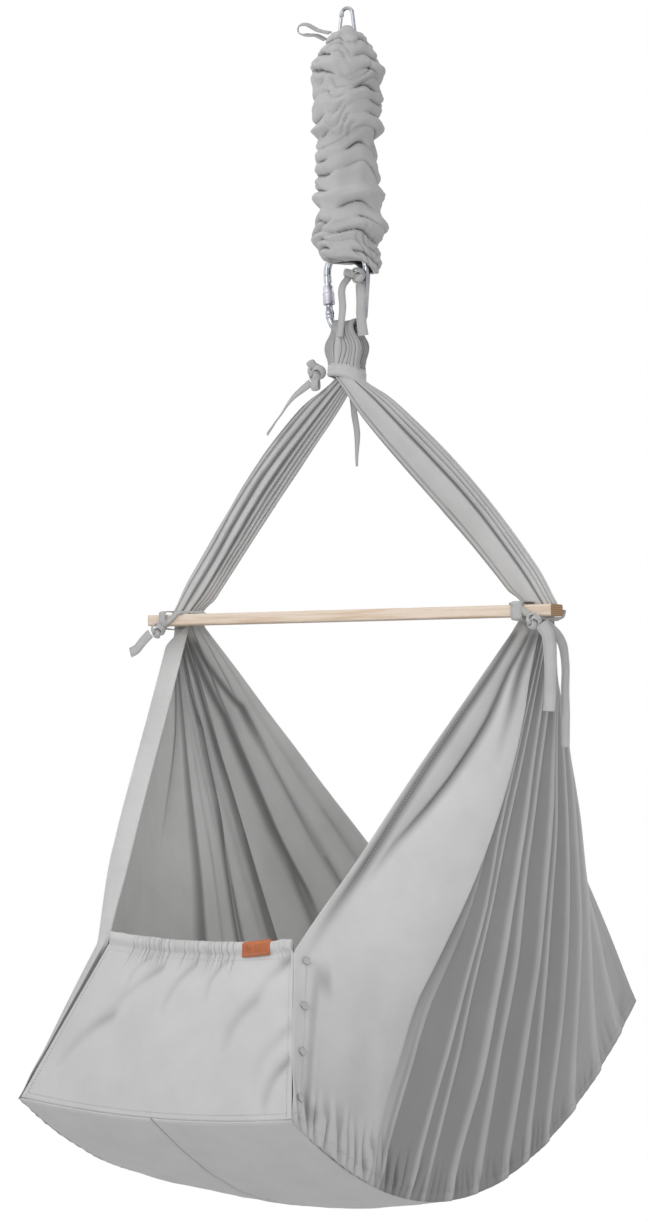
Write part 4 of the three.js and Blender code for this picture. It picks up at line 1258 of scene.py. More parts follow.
@dataclass
class Tape:
    """A flat sewn tape along a line of chosen points."""

    name: str
    route: tuple[tuple[float, float, float], ...]
    faces: tuple[tuple[float, float, float], ...]
    width: float
    body: Body
    node: str
    rests_on: str
    is_loop: bool = False
    steps: int = 90
    wall: float = 0.0013
    cup: float = 0.035
    # How far the loose end is drawn to a point, from 0 to 1
    taper: float = 0.0

    def build(self) -> None:
        """Builds the tape with its hems, its sewn end and its stitches."""
        points = [Vector(p) * MM for p in self.route]
        facings = [Vector(f) for f in self.faces]
        size = length_of([curve_point(points, share, self.is_loop) for share in spaced(61)])
        seed = len(self.name)

        def frame_at(along: float) -> tuple[Vector, Vector, Vector]:
            """The tape's middle, its side and its face at a share along."""
            share = along % 1 if self.is_loop else along
            way = heading(points, share, 0.004, self.is_loop)
            face = square_to(way, curve_point(facings, share, self.is_loop))
            return curve_point(points, share, self.is_loop), way.cross(face), face

        def place(across: float, along: float) -> Vector:
            """A point of the tape's middle face; a tape with loose ends is slightly uneven."""
            middle, side, face = frame_at(along)
            wide = across * 2 - 1
            curl = self.cup * self.width * (wide * wide - 0.4)
            half = self.width / 2
            sway = 0.0
            if not self.is_loop:
                curl += 0.05 * self.width * grain(wide * 1.5, along * size / 0.018, seed)
                half *= 1 + 0.05 * grain(9.0, along * size / 0.02, seed)
                sway = 0.0008 * grain(3.0, along * size / 0.03, seed)
            half *= 1 - self.taper * smooth(along, 0.5, 1.0) ** 2
            return middle + side * (half * wide + sway) - face * curl

        def hem(across: float, along: float) -> float:
            """Shade just inside the sewn edges."""
            wide = abs(across * 2 - 1)
            return 0.35 * (smooth(wide, 0.55, 0.72) - smooth(wide, 0.72, 0.86))

        def raised(across: float, along: float, facing_at: float) -> Vector:
            """A point of the tape, raised to its outer face."""
            return place(across, along) + frame_at(facing_at)[2] * self.wall * 0.5

        mesh = patch(10, self.steps, place, (self.width, size), hem)
        if self.is_loop:
            bmesh.ops.remove_doubles(mesh, verts=mesh.verts[:], dist=WELD)
        piece = dress(self.name, mesh, Finish.TAPE, self.body, "cotton_tape",
                      [self.node] if self.node else [], wall=self.wall)
        rows = []
        for across in (0.14, 0.86):
            line = [raised(across, share if self.is_loop else lerp(0.01, 0.97, share), share)
                    for share in spaced(61)]
            rows.append(stitches(line, 3.4 * MM, FINE_THREAD))
        if not self.is_loop:
            end = [raised(across, 0.955, 0.955) for across in spaced(7, 0.14, 0.86)]
            rows.append(stitches(end, 3.0 * MM, FINE_THREAD))
        sewn = sewing(self.name, rows, self.body, "cotton_tape")
        max(0.01, self.width)


@dataclass
class Knot:
    """A small tied knot of flat tape, with bow loops at some of them."""

    name: str
    size: float
    centre: tuple[float, float, float]
    body: Body
    node: str
    # Where each bow loop's far end lies from the middle, and how wide it opens, in millimetres
    bows: tuple[tuple[float, float, float, float], ...] = ()

    def build(self) -> None:
        """Builds the knot as one flattened tube that winds twice round."""
        centre = Vector(self.centre) * MM
        count = 60
        line = []
        for index in range(count):
            turn = 4 * pi * index / count
            twist = 1.5 * turn
            reach = self.size * (2 + cos(twist)) * 0.5
            line.append(centre + Vector((reach * cos(turn), -self.size * 0.5 * sin(twist),
                                         reach * sin(turn))))

        def section(across: float, along: float) -> tuple[float, float]:
            """A folded tape's section, flat and slightly crumpled."""
            angle = tau * across
            turn = tau * along
            crumple = 1 + 0.22 * grain(5 * cos(turn), 5 * sin(turn), self.size * 900)
            curl = 0.10 * cos(angle) ** 2
            return (0.66 * self.size * crumple * cos(angle),
                    self.size * (0.21 * sin(angle) - curl * crumple))

        def outward(along: float, middle: Vector) -> Vector:
            """The tape lies flat over the knot."""
            return (middle - centre) + Vector((0.001, -0.35 * self.size, 0.002))

        meshes = [loop_tube(line, section, outward, 18, 170)]
        for x, y, z, opening in self.bows:
            meshes.append(self.bow(centre, Vector((x, y, z)) * MM, opening * MM))
        dress(self.name, joined(meshes), Finish.TAPE, self.body, "cotton_tape", [self.node])

    def bow(self, centre: Vector, reach: Vector, opening: float) -> Mesh:
        """One bow loop of folded tape, drawn out from the knot and back.

        Args:
            centre: the knot's middle.
            reach: from the middle to the loop's far end.
            opening: how far its two runs stand apart.

        Returns:
            The mesh in the making.
        """
        side = Vector((0, -1, 0.45)).normalized()
        line = []
        for index in range(24):
            turn = tau * index / 24
            out = 0.5 - 0.5 * cos(turn)
            line.append(centre + reach * out + side * opening * sin(turn) * out)

        def section(across: float, along: float) -> tuple[float, float]:
            """The tape's section: flat, and slightly cupped."""
            angle = tau * across
            return 0.0058 * cos(angle), 0.0007 * sin(angle) - 0.0010 * cos(angle) ** 2

        def outward(along: float, middle: Vector) -> Vector:
            """The tape's face looks away from the loop's inside."""
            return (middle - centre - reach * 0.6) + side * 0.0001

        return loop_tube(line, section, outward, 14, 60)


# Gathered cloth

@dataclass
class HangingLoop:
    """Pleated cloth over the carabiner's rod, a front leg and a back leg, bound at the neck."""

    rod_z: float = -0.429
    seat: float = 0.0053
    thick: float = 0.009
    slack: float = 0.0016
    neck_drop: float = 0.486
    half_width: float = 0.024
    half_depth: float = 0.0125
    seat_width: float = 0.032
    bulge_width: float = 0.056
    seat_curve: float = 0.022
    pleats: int = 33
    band_height: float = 0.021

    def fold(self, across: float, along: float) -> float:
        """The pleats' height, uneven round the cloth and drawn together at the neck."""
        uneven = 0.045 * sin(4 * pi * across + 0.6) + 0.018 * sin(10 * pi * across)
        curve = 0.05 * sin(tau * along) * sin(pi * (across % 1))
        drift = 0.8 * grain(3 * cos(tau * across), along * 3.5, 2)
        return pleat(self.pleats * (across + uneven + curve) + drift, 0.74)

    def build(self) -> None:
        """Builds the loop and its sewn binding."""
        middle = self.seat + self.thick / 2
        straddle = middle + self.slack
        legs = self.half_depth / 2 + 0.00015
        run = self.rod_z + self.neck_drop
        arc = pi * middle
        total = 2 * run + arc

        def place(across: float, along: float) -> Vector:
            """A point of the pleated cloth."""
            reach = along * total
            if reach < run or reach > total - run:
                is_front = reach < run
                share = reach / run if is_front else (total - reach) / run
                y = lerp(legs, straddle, smooth(share, 0, 1))
                centre = Vector((0, -y if is_front else y, -self.neck_drop + run * share))
                tilt = pi / 2 if is_front else -pi / 2
            else:
                share = 1.0
                turn = pi * (reach - run) / arc
                centre = Vector((0, -straddle * cos(turn), self.rod_z + middle * sin(turn)))
                tilt = pi / 2 - turn
            bulge = sin(pi * smooth(share, 0.12, 1)) ** 2
            width = lerp(2 * self.half_width, self.seat_width, smooth(share, 0.6, 1))
            width = lerp(width, self.bulge_width, bulge)
            thick = lerp(self.half_depth, self.thick, smooth(share, 0, 0.6))
            angle = tau * across
            outer = max(0.0, sin(angle))
            fold = self.fold(across, along) - 0.5
            depth = 0.0032 * fold * lerp(0.7, 1.0, share) * (0.35 + 0.65 * outer)
            wide = width / 2 * cos(angle) * (1 + 0.03 * grain(along * 9, across * 3, 5))
            deep = thick / 2 * sin(angle) + depth * (1 if sin(angle) >= 0 else -0.4)
            outward = Vector((0, -sin(tilt), cos(tilt)))
            point = centre + Vector((wide, 0, 0)) + outward * deep
            reach_x = min(abs(point.x), self.seat_width / 2)
            rise = self.seat_curve - sqrt(self.seat_curve ** 2 - reach_x ** 2)
            return point + Vector((0, 0, rise * share ** 2))

        def crease(across: float, along: float) -> float:
            """Shade in the pleats."""
            return 0.85 * (1 - smooth(self.fold(across, along), 0.0, 0.36))

        mesh = wrap(300, 90, place, (0.14, total), crease)
        piece = cloth("pleated_loop", mesh, "hanging_loop", 0.9 * MM)
        self.binding()

    def binding(self) -> None:
        """Builds the band sewn round the neck, with a row of stitches near each edge."""
        height = self.band_height

        def ring(across: float, level: float, grow: float) -> Vector:
            """A point round the neck at a level of the band."""
            angle = tau * across
            flare = 1 + 0.25 * max(0.0, -level)
            side, front = cos(angle), sin(angle)
            drawn = 0.0018 * (smooth(level, 0.35, 0.7) + smooth(-level, 0.1, 0.29))
            x = (self.half_width * flare + 0.0014 + grow - drawn) * copysign(abs(side) ** 0.8, side)
            y = (self.half_depth * flare + 0.0019 + grow - drawn) * copysign(abs(front) ** 0.62, front)
            tuck = 0.0007 * grain(across * 26, level * 3, 8)
            slant = -0.0055 * cos(angle - 0.58) - 0.007 * max(0.0, side) * smooth(-level, -0.3, 0.29)
            return Vector((x + tuck, y + tuck, -self.neck_drop + 0.8 * level * height + slant))

        mesh = wrap(120, 14, lambda across, along: ring(across % 1, lerp(-0.29, 0.7, along), 0.0012),
                    (0.13, height))
        piece = cloth("bound_neck", mesh, "neck_binding", 1.8 * MM)
        rows = [stitches([ring(share % 1, level, 0.0015) for share in spaced(101)], 3.2 * MM, FINE_THREAD)
                for level in (-0.17, 0.58)]
        sewn = sewing("bound_neck", rows)


# Where the pleats' steep edges lie round an arm, and how deep each is at most: close together
# along one edge of its front face, far apart over the rest
BACK_PLEATS = ((0.07, 0.004), (0.17, 0.006), (0.28, 0.006), (0.40, 0.006), (0.50, 0.005))
ARM_PLEATS = {
    -1: BACK_PLEATS + ((0.62, 0.003), (0.715, 0.0055), (0.80, 0.006), (0.845, 0.0045), (0.885, 0.0045),
                       (0.93, 0.003), (1.0, 0.003)),
    1: BACK_PLEATS + ((0.62, 0.003), (0.815, 0.0060), (0.862, 0.0045), (0.905, 0.0045), (0.95, 0.003),
                      (1.0, 0.003))}


@dataclass
class Arm:
    """One arm of gathered cloth, from the neck down to the back of the bar."""

    side: int
    name: str
    node: str
    fade: float
    bow: float = 0.010
    start_half: float = 0.018
    half: float = 0.029
    bar_half: float = 0.025
    half_depth: float = 0.009
    # Where the arm meets the bar, and the share along it at which it turns down behind the bar
    bar_x: float = 0.276
    bar_y: float = 0.024
    bar_z: float = -0.7915
    end_z: float = -0.8018
    bar_share: float = 0.975

    def axis(self, share: float) -> tuple[Vector, float, float, Vector]:
        """The arm's middle, half width, half depth and the direction across it.

        Args:
            share: from 0 at the neck to 1 behind the bar.

        Returns:
            The centre, the half width, the half depth and the direction across.
        """
        start = Vector((self.side * 0.003, -self.side * 0.00655, -0.4863))
        end = Vector((self.side * self.bar_x, self.bar_y, self.bar_z))
        run = min(1.0, share / self.bar_share)
        bow = self.bow * sin(pi * run)
        centre = start.lerp(end, run)
        centre.x += self.side * bow * 0.7
        centre.z += bow * 0.7
        centre.y = lerp(start.y, self.bar_y, smooth(run, 0.1, 0.95))
        if share > self.bar_share:
            centre.z = lerp(self.bar_z, self.end_z, (share - self.bar_share) / (1 - self.bar_share))
        way = (end - start).normalized()
        across = Vector((-way.z, 0, way.x))
        if across.x < 0:
            across.negate()
        level = min(smooth(run, 0, 0.22), 1 - smooth(run, 0.86, 1))
        turned = Vector((1, 0, 0)).lerp(across, level).normalized()
        swell = sin(pi * run)
        half = lerp(lerp(self.start_half, self.bar_half, run), self.half, swell)
        depth = lerp(lerp(0.00595, 0.0087, run), self.half_depth, swell)
        return centre, half, depth, turned

    def fold(self, across: float, share: float) -> tuple[float, float, float]:
        """The pleat's height, shade and crest at a place round the arm and along it."""
        drift = 0.022 * grain(share * 3.2, across * 3, 11 + self.side) * sin(pi * across)
        return folded(across % 1 + drift, ARM_PLEATS[self.side], 0.16, self.fade)

    def place(self, across: float, along: float) -> Vector:
        """A point of the arm's outer face.

        Args:
            across: the share round.
            along: the share down.

        Returns:
            The point.
        """
        centre, half, depth, turned = self.axis(along)
        angle = tau * across
        swell = sin(pi * min(1.0, along * 1.02)) ** 0.5 if 0 < along < 0.98 else 0.0
        height = (self.fold(across, along)[0] - 0.0025) * max(0.35, swell)
        wave = 0.0014 * grain(cos(angle) * 2, along * 7, 17 + self.side)
        out = Vector((cos(angle), sin(angle)))
        wide = half * out.x + out.x * height * 0.7
        deep = depth * out.y + (height + wave) * (1 if out.y >= 0 else -1) * abs(out.y) ** 0.4
        return centre + turned * wide + Vector((0, 1, 0)) * deep

    def crease(self, across: float, along: float) -> float:
        """Shade in the pleats."""
        return 0.9 * self.fold(across, along)[1]

    def build(self) -> None:
        """Builds the arm."""
        mesh = wrap(160, 150, self.place, (0.2, 0.43), self.crease)
        piece = cloth(self.name, mesh, self.node, 1.0 * MM)


# The shares down a fan at which a groove's place is given
GROOVE_SHARES = (0.03, 0.10, 0.20, 0.32, 0.46, 0.62)


@dataclass
class Fan:
    """One side of the bag: cloth that gathers under the bar and is sewn to the bottom's edge."""

    side: int
    name: str
    node: str
    # Where each pleat's steep edge runs, from front to back, and how deep it is at most
    pleats: tuple[tuple[float, float], ...]
    # Grooves: their place at each of GROOVE_SHARES down the cloth, how deep and wide, how far the
    # shade beside them reaches (towards the back where it is above 0) and where they end
    grooves: tuple[tuple[tuple[float, ...], float, float, float, float], ...]
    strip: float
    back_bulge: float
    edge_shift: float
    # How much painted shade lies over the folded part, and how far the painted shade past a pleat's edge
    # reaches
    fold_zone_shade: float
    fade: float
    columns: int = 330
    rows: int = 112
    # The shares at which the mesh starts behind the bar and ends below the seam
    first_share: float = -0.02
    last_share: float = 1.004
    seam_share: float = 0.985

    def width_at(self, share: float) -> float:
        """How wide the cloth is spread at a share down."""
        return lerp(0.062, 0.88, share)

    def turn_of(self, across: float) -> float:
        """More of the mesh goes to the front, where the seam is puckered."""
        return across * 0.72 if across < 0.6 else lerp(0.432, 1.0, (across - 0.6) / 0.4)

    def fold(self, turn: float, share: float) -> tuple[float, float]:
        """The pleats' height and the painted shade of their folds and grooves.

        Args:
            turn: from the front edge to the back edge.
            share: from the bar to the seam.

        Returns:
            The height in metres and the shade, from 0 to 1.
        """
        meander = 0.007 * grain(share * 2.6, turn * 3.0, 21 + self.side) * smooth(share, 0.05, 0.4)
        at = turn + meander
        if self.side > 0:
            at += 0.05 * smooth(share, 0.25, 0.72) * (1 - smooth(turn, 0.20, 0.30)) * smooth(turn, 0.0, 0.1)
        fade = 1 - 0.8 * smooth(share, 0.62 + 0.22 * grain(turn * 6, 1.0, 31), 0.97)
        height, shade, crest = folded(at, self.pleats, self.width_at(share), self.fade)
        # Painted shade over the folded part behind the front band, lighter on the pleats' crests
        fold_zone_shade = self.fold_zone_shade * smooth(at, 0.245, 0.262) * (1 - 0.5 * smooth(at, 0.62, 0.9))
        shade = 0.8 * max(shade * fade, fold_zone_shade * (1 - 0.75 * crest))
        height *= fade
        # Each groove sinks the cloth and adds painted shade in it and beside it
        for places, depth, half, reach, end in self.grooves:
            before = 0
            while before < len(places) - 2 and share > GROOVE_SHARES[before + 1]:
                before += 1
            upper, lower = GROOVE_SHARES[before:before + 2]
            part = (share - upper) / (lower - upper)
            away = (turn - lerp(places[before], places[before + 1], min(1.0, part))) * self.width_at(share)
            core = exp(-(away / half) ** 2)
            beside = exp(-abs(away / reach)) if away * reach > 0 else 0.0
            force = smooth(share, 0.0, 0.04) * (1 - smooth(share, end - 0.22, end))
            height -= depth * core * force
            shade = max(shade, max(core, 0.5 * beside) * force)
        return height, shade

    def near_seam(self, turn: float, share: float) -> float:
        """How high the seam's gathers stand at a place, in metres; they are strongest in front.

        Args:
            turn: from the front edge to the back edge.
            share: from the bar to the seam.

        Returns:
            The height.
        """
        front = 1 - smooth(turn, 0.14, 0.36)
        start = lerp(0.93, 0.885, front) + 0.06 * grain(turn * 16, 2.0, 51)
        size = lerp(0.0020, 0.0058, front) * (0.75 + 0.5 * grain(turn * 22, 5.0, 52))
        return size * smooth(share, start, 0.985) * (1 - 0.55 * smooth(share, 0.985, 1.0))

    def gather(self, turn: float, share: float) -> float:
        """The seam's gathers: slanting, uneven little pleats, from 0 to 1."""
        slant = 5 * (1 - share) * (1 - smooth(turn, 0.1, 0.4))
        wander = 2.2 * grain(turn * 13, share * 5, 61) + 0.6 * grain(turn * 45, share * 11, 62)
        return pleat(turn * 50 + slant + wander, 0.62)

    def surface(self, turn: float, share: float) -> Vector:
        """A point of the cloth on the +X side, folds and puckers included.

        Args:
            turn: from the front edge to the back edge.
            share: from the bar to the seam.

        Returns:
            The point.
        """
        share_in = max(share, 0.0)
        point = BAG.fan(max(turn, 0.0), share_in)
        point.x += self.edge_shift * (1 - smooth(turn, 0.0, 0.35)) * max(0.0, 1 - share_in / BAG.kink_share)
        gathered = Vector((sin(pi * turn), -cos(pi * turn), 0))
        outward = gathered.lerp(Vector((1, 0, 0)), smooth(share, 0, 0.35)).normalized()
        height = self.fold(max(turn, 0.0), share_in)[0]
        # The cloth bows out between the bar and the seam
        bow = sin(pi * min(1.0, share_in * 1.02)) ** 0.9
        height += self.back_bulge * smooth(turn, 0.35, 0.8) * (1 - 0.45 * smooth(turn, 0.86, 1.0)) * bow
        height += 0.004 * sin(pi * share_in) * grain(turn * 7, share * 5, 41 + self.side)
        # The front band is rumpled low down, and steps out behind the placket that the snaps hold
        band = smooth(turn, 0.0, 0.03) * (1 - smooth(turn, 0.17, 0.25))
        height += 0.0034 * band * smooth(share_in, 0.5, 0.9) * grain(turn * 22, share * 13, 44)
        height += 0.006 * self.step_out(turn, share)
        # Small gathers where the cloth is eased on to the seam
        near = self.near_seam(turn, share)
        height += near * (self.gather(turn, share) - 0.2)
        height *= smooth(share_in, -0.001, 0.03)
        return point + outward * height

    def step_out(self, turn: float, share: float) -> float:
        """How far the cloth has stepped out behind the placket, from 0 to 1."""
        wander = 0.004 * grain(share * 9, 3.0, 45)
        level = smooth(turn + wander, 0.020, 0.032) * (1 - smooth(turn, 0.06, 0.14))
        return level * smooth(share, 0.68, 0.76) * (1 - smooth(share, 0.94, 0.99))

    def place(self, across: float, along: float) -> Vector:
        """A point of the cloth, the turned-out strip and the part behind the bar included.

        Args:
            across: the share from front to back.
            along: the share down.

        Returns:
            The point.
        """
        share = lerp(self.first_share, self.last_share, along)
        cut = self.strip_share
        if across < cut:
            out = (cut - across) / cut
            point = self.surface(0.0, share)
            wide = self.strip * smooth(share, self.first_share, 0.05) * (1 - 0.5 * smooth(share, 0.50, 0.72))
            wide *= 1 - 0.9 * smooth(share, 0.70, 1.0)
            curl = 0.25 * out * out
            point += Vector((wide * out * (1 - 0.1 * out), -wide * (0.10 + curl) * out, 0))
        else:
            point = self.surface(self.turn_of((across - cut) / (1 - cut)), share)
        if share < 0:
            point.z += 0.010 * min(1.0, share / self.first_share)
        return self.mirrored(point)

    def mirrored(self, point: Vector) -> Vector:
        """A point of the +X side, on this fan's own side."""
        return Vector((point.x * self.side, point.y, point.z))

    @property
    def strip_share(self) -> float:
        """The share of the mesh that the turned-out strip takes."""
        return 0.05 if self.strip else 0.0

    def crease(self, across: float, along: float) -> float:
        """Shade in the folds.

        Args:
            across: the share from front to back.
            along: the share down.

        Returns:
            The shade, from 0 to 1.
        """
        cut = self.strip_share
        share = lerp(self.first_share, self.last_share, along)
        if across < cut:
            # Painted shade for the gap beside the end panel, on the turned-out strip
            return smooth(across / cut, 0.55, 0.75) * smooth(share, 0.67, 0.72)
        turn = self.turn_of((across - cut) / (1 - cut))
        # Painted shade in the seam's puckers and at the step behind the placket
        near = self.near_seam(turn, share) / 0.0058
        pucker_shade = near * 0.75 * (1 - smooth(self.gather(turn, share), 0.0, 0.6))
        stepped = self.step_out(turn, share)
        pucker_shade += 1.6 * stepped * (1 - stepped) * smooth(0.05 - turn, 0.0, 0.01)
        return min(1.0, 0.95 * self.fold(turn, max(share, 0.0))[1] + pucker_shade)

    def build(self) -> None:
        """Builds the cloth, and the stitches along its front and back edges and on the seam."""
        mesh = patch(self.columns, self.rows, self.place, (0.9, 0.78), self.crease)
        if self.side < 0:
            bmesh.ops.reverse_faces(mesh, faces=mesh.faces[:])
        piece = cloth(self.name, mesh, self.node, 1.2 * MM, 0.0)
        lift = Vector((0.9 * MM, 0, 0))
        rows = [stitches([self.mirrored(self.surface(turn, share) + lift)
                          for share in spaced(140, 0.02, self.seam_share)]) for turn in (0.016, 0.984)]
        lift = Vector((1.0 * MM, 0, 0))
        rows.append(stitches([self.mirrored(self.surface(turn, self.seam_share) + lift)
                              for turn in spaced(260)]))
        sewn = sewing(self.name, rows)


RIGHT_PLEATS = ((0.245, 0.024), (0.265, 0.007), (0.303, 0.010), (0.345, 0.006), (0.42, 0.017),
                (0.50, 0.006), (0.585, 0.014), (0.65, 0.006), (0.715, 0.014), (0.80, 0.014),
                (0.88, 0.014), (0.95, 0.010), (1.3, 0.006))
LEFT_PLEATS = ((0.52, 0.004), (0.595, 0.002), (0.675, 0.004), (0.765, 0.004), (0.86, 0.005),
               (0.93, 0.003), (0.972, 0.002), (1.3, 0.002))
RIGHT_GROOVES = (((0.033, 0.034, 0.022, 0.018, 0.016, 0.014), 0.003, 0.004, -0.004, 0.72),
                 ((0.145, 0.112, 0.100, 0.075, 0.038, 0.02), 0.006, 0.0028, -0.016, 0.58),
                 ((0.19, 0.17, 0.16, 0.15, 0.13, 0.12), 0.003, 0.004, 0.006, 0.30))
LEFT_GROOVES = (((0.62, 0.63, 0.68, 0.68, 0.665, 0.66), 0.005, 0.0032, 0.006, 0.85),
                ((0.70, 0.74, 0.755, 0.765, 0.770, 0.772), 0.005, 0.0032, 0.002, 1.10),
                ((0.775, 0.80, 0.848, 0.855, 0.858, 0.87), 0.004, 0.0045, 0.007, 0.80),
                ((0.82, 0.87, 0.93, 0.93, 0.925, 0.93), 0.003, 0.0035, 0.004, 0.42),
                ((0.45, 0.44, 0.40, 0.31, 0.25, 0.20), 0.002, 0.003, 0.020, 0.45))


@dataclass
class Bottom:
    """The bag's bottom, sewn of two halves along its middle."""

    wall: float = 0.0022

    def place(self, across: float, along: float) -> Vector:
        """A point of the bottom's upper face.

        Args:
            across: the share across.
            along: the share from front to back.

        Returns:
            The point.
        """
        wide = across * 2 - 1
        y = lerp(-BAG.half_length, BAG.half_length, along)
        point = BAG.bottom(wide, y)
        inner = (1 - wide ** 4) * (1 - (y / BAG.half_length) ** 6)
        sag = 0.0035 * grain(across * 5, along * 8, 71) + 0.0012 * grain(across * 17, along * 30, 72)
        point.z += sag * inner
        # The middle seam draws the cloth up in a fine line
        point.z += 0.0018 * exp(-(wide / 0.010) ** 2) * (1 + 0.5 * grain(along * 60, 0.0, 73))
        near = smooth(abs(wide), 0.90, 0.99)
        point.z += 0.0010 * near * (pleat(along * 110, 0.6) - 0.5)
        return point

    def crease(self, across: float, along: float) -> float:
        """Shade beside the middle seam."""
        wide = abs(across * 2 - 1)
        return 0.75 * exp(-(wide / 0.008) ** 2)

    def build(self) -> None:
        """Builds the bottom and the two rows of stitches along its middle seam."""
        mesh = patch(180, 150, self.place, (0.42, 0.9), self.crease)
        piece = cloth("sewn_bottom", mesh, "bottom_panel", self.wall)
        below = Vector((0, 0, self.wall + 0.2 * MM))
        rows = [stitches([self.place(across, along) - below for along in spaced(200)])
                for across in (0.482, 0.518)]
        sewn = sewing("sewn_bottom", rows)


# Long soft folds of the end panels: start across and up, end across and up, depth, half width, shade
FRONT_FOLDS = ((-0.34, 0.90, -0.66, 0.52, 0.006, 0.055, 0.45), (-0.60, 0.58, -0.86, 0.22, 0.005, 0.07, 0.40),
               (-0.50, 0.95, -0.57, 0.75, 0.004, 0.035, 0.30), (0.00, 0.94, -0.14, 0.62, 0.004, 0.05, 0.35),
               (0.30, 0.95, 0.24, 0.70, 0.003, 0.04, 0.28), (0.94, 0.95, 0.62, 0.66, 0.007, 0.055, 0.60),
               (0.66, 0.72, 0.46, 0.38, 0.005, 0.07, 0.35), (0.96, 0.34, 0.80, 0.02, 0.007, 0.05, 0.55),
               (0.99, 0.55, 0.70, 0.20, 0.003, 0.07, 0.25))
BACK_FOLDS = ((-0.42, 0.95, -0.80, 0.35, 0.006, 0.07, 0.40), (0.40, 0.95, 0.10, 0.40, 0.005, 0.07, 0.35))


@dataclass
class Panel:
    """An end panel with its gathered top edge."""

    panel: EndPanel
    body: Body
    prefix: str
    folds: tuple[tuple[float, ...], ...]
    # Where the casing is gathered: from, to
    gathers: tuple[tuple[float, float], ...]
    casing_half_height: float = 0.0058
    casing_half_depth: float = 0.0032
    casing_inset: float = 0.0031
    # The share of the mesh that each side return takes, and the one where the casing starts
    side_share: float = 0.055
    casing_share: float = 0.82

    def gather(self, wide: float) -> float:
        """The gathers' height along the casing, from 0 to 1 with a minus where none are."""
        for low, high in self.gathers:
            if low < wide < high:
                edge = min(smooth(wide, low, low + 0.06), 1 - smooth(wide, high - 0.06, high))
                phase = wide * 31 + 1.4 * grain(wide * 9, 0.0, 81)
                return edge * (sin(pi * (phase - floor(phase))) ** 0.6 - 0.5)
        return 0.0

    def surface(self, wide: float, up: float) -> Vector:
        """A point of the panel's outer face between its two corners.

        Args:
            wide: from -1 to 1 across.
            up: from 0 at the seam to 1 at the casing.

        Returns:
            The point.
        """
        low, high = BAG.corner(self.panel)
        corner = low.lerp(high, up)
        width = corner.x - 0.0006
        bow = self.panel.belly * sin(pi * up) * (1 - wide * wide)
        dip = lerp(BAG.crown_end, self.panel.top_dip, up) * (1 - wide * wide)
        relief = 0.0040 * self.gather(wide) * self.near_casing(wide, up)
        relief += 0.0022 * grain(wide * 4, up * 4, 84) * sin(pi * up) - self.drawn_in(wide, up)[0]
        edge = 1 - smooth(abs(wide), 0.93, 1.0)
        return Vector((wide * width, corner.y + self.panel.end * (bow + relief * edge), corner.z - dip))

    def near_casing(self, wide: float, up: float) -> float:
        """How strongly the casing's gathers run down into the cloth at a place, from 0 to 1."""
        return smooth(up, 0.86 + 0.07 * grain(wide * 11, 0.0, 83), 1.0)

    def drawn_in(self, wide: float, up: float) -> tuple[float, float]:
        """How deep the long folds are at a place, and their shade from 0 to 1.

        Args:
            wide: from -1 to 1 across.
            up: from 0 at the seam to 1 at the casing.

        Returns:
            The depth in metres and the shade.
        """
        deep = 0.0
        shade = 0.0
        for x0, y0, x1, y1, depth, half, dark in self.folds:
            dx, dy = (x1 - x0), (y1 - y0)
            part = min(1.0, max(0.0, ((wide - x0) * dx + (up - y0) * dy) / (dx * dx + dy * dy)))
            bend = 0.06 * sin(pi * part)
            away = hypot(wide - x0 - dx * part + bend, (up - y0 - dy * part) * 0.9)
            fade = sin(pi * lerp(0.3, 1.0, part))
            deep += depth * exp(-(away / half) ** 2) * fade
            shade = max(shade, dark * exp(-(away / (0.6 * half)) ** 2) * fade)
        return deep, shade

    def build(self) -> None:
        """Builds the panel, its casing, its elastic and the stitches under the casing."""
        side_share = self.side_share
        over = self.casing_share

        def place(across: float, along: float) -> Vector:
            """A point of the panel, its side returns and the cloth over the casing included."""
            up = min(1.0, along / over)
            if side_share <= across <= 1 - side_share:
                wide = lerp(-1, 1, (across - side_share) / (1 - 2 * side_share))
                if along <= over:
                    return self.surface(wide, up)
                return self.over_casing(wide, (along - over) / (1 - over))
            is_left = across < side_share
            out = (side_share - across if is_left else across - 1 + side_share) / side_share
            point = self.surface(-1.0 if is_left else 1.0, up)
            point.z -= max(0.0, along - over) * 0.002
            point.y -= self.panel.end * self.panel.side_return * out
            point.x += self.panel.inset * out * (1 if is_left else -1)
            return point

        def crease(across: float, along: float) -> float:
            """Shade between the gathers."""
            wide = lerp(-1, 1, (across - side_share) / (1 - 2 * side_share))
            # The side returns are painted in full shade, dark as the gap beside the fans
            if abs(wide) > 1:
                return 1.0
            up = along / over
            gathered = self.near_casing(wide, up) * max(0.0, -self.gather(wide) * 2)
            return min(1.0, 0.9 * gathered + self.drawn_in(wide, min(1.0, up))[1])

        mesh = patch(300, 96, place, (0.40, 0.24), crease)
        if self.panel.end > 0:
            bmesh.ops.reverse_faces(mesh, faces=mesh.faces[:])
        piece = cloth(f"{self.prefix}_end_cloth", mesh, f"{self.prefix}_panel", 1.4 * MM, body=self.body)
        lift = Vector((0, self.panel.end * 0.4 * MM, 0))
        rows = [stitches([self.surface(wide, up) + lift for wide in spaced(120, -0.97, 0.97)])
                for up in (0.035, 0.965)]
        rows += [stitches([self.surface(wide, up) + lift for up in spaced(50)]) for wide in (-0.965, 0.965)]
        sewn = sewing(f"{self.prefix}_end", rows, self.body)
        casing = self.casing()

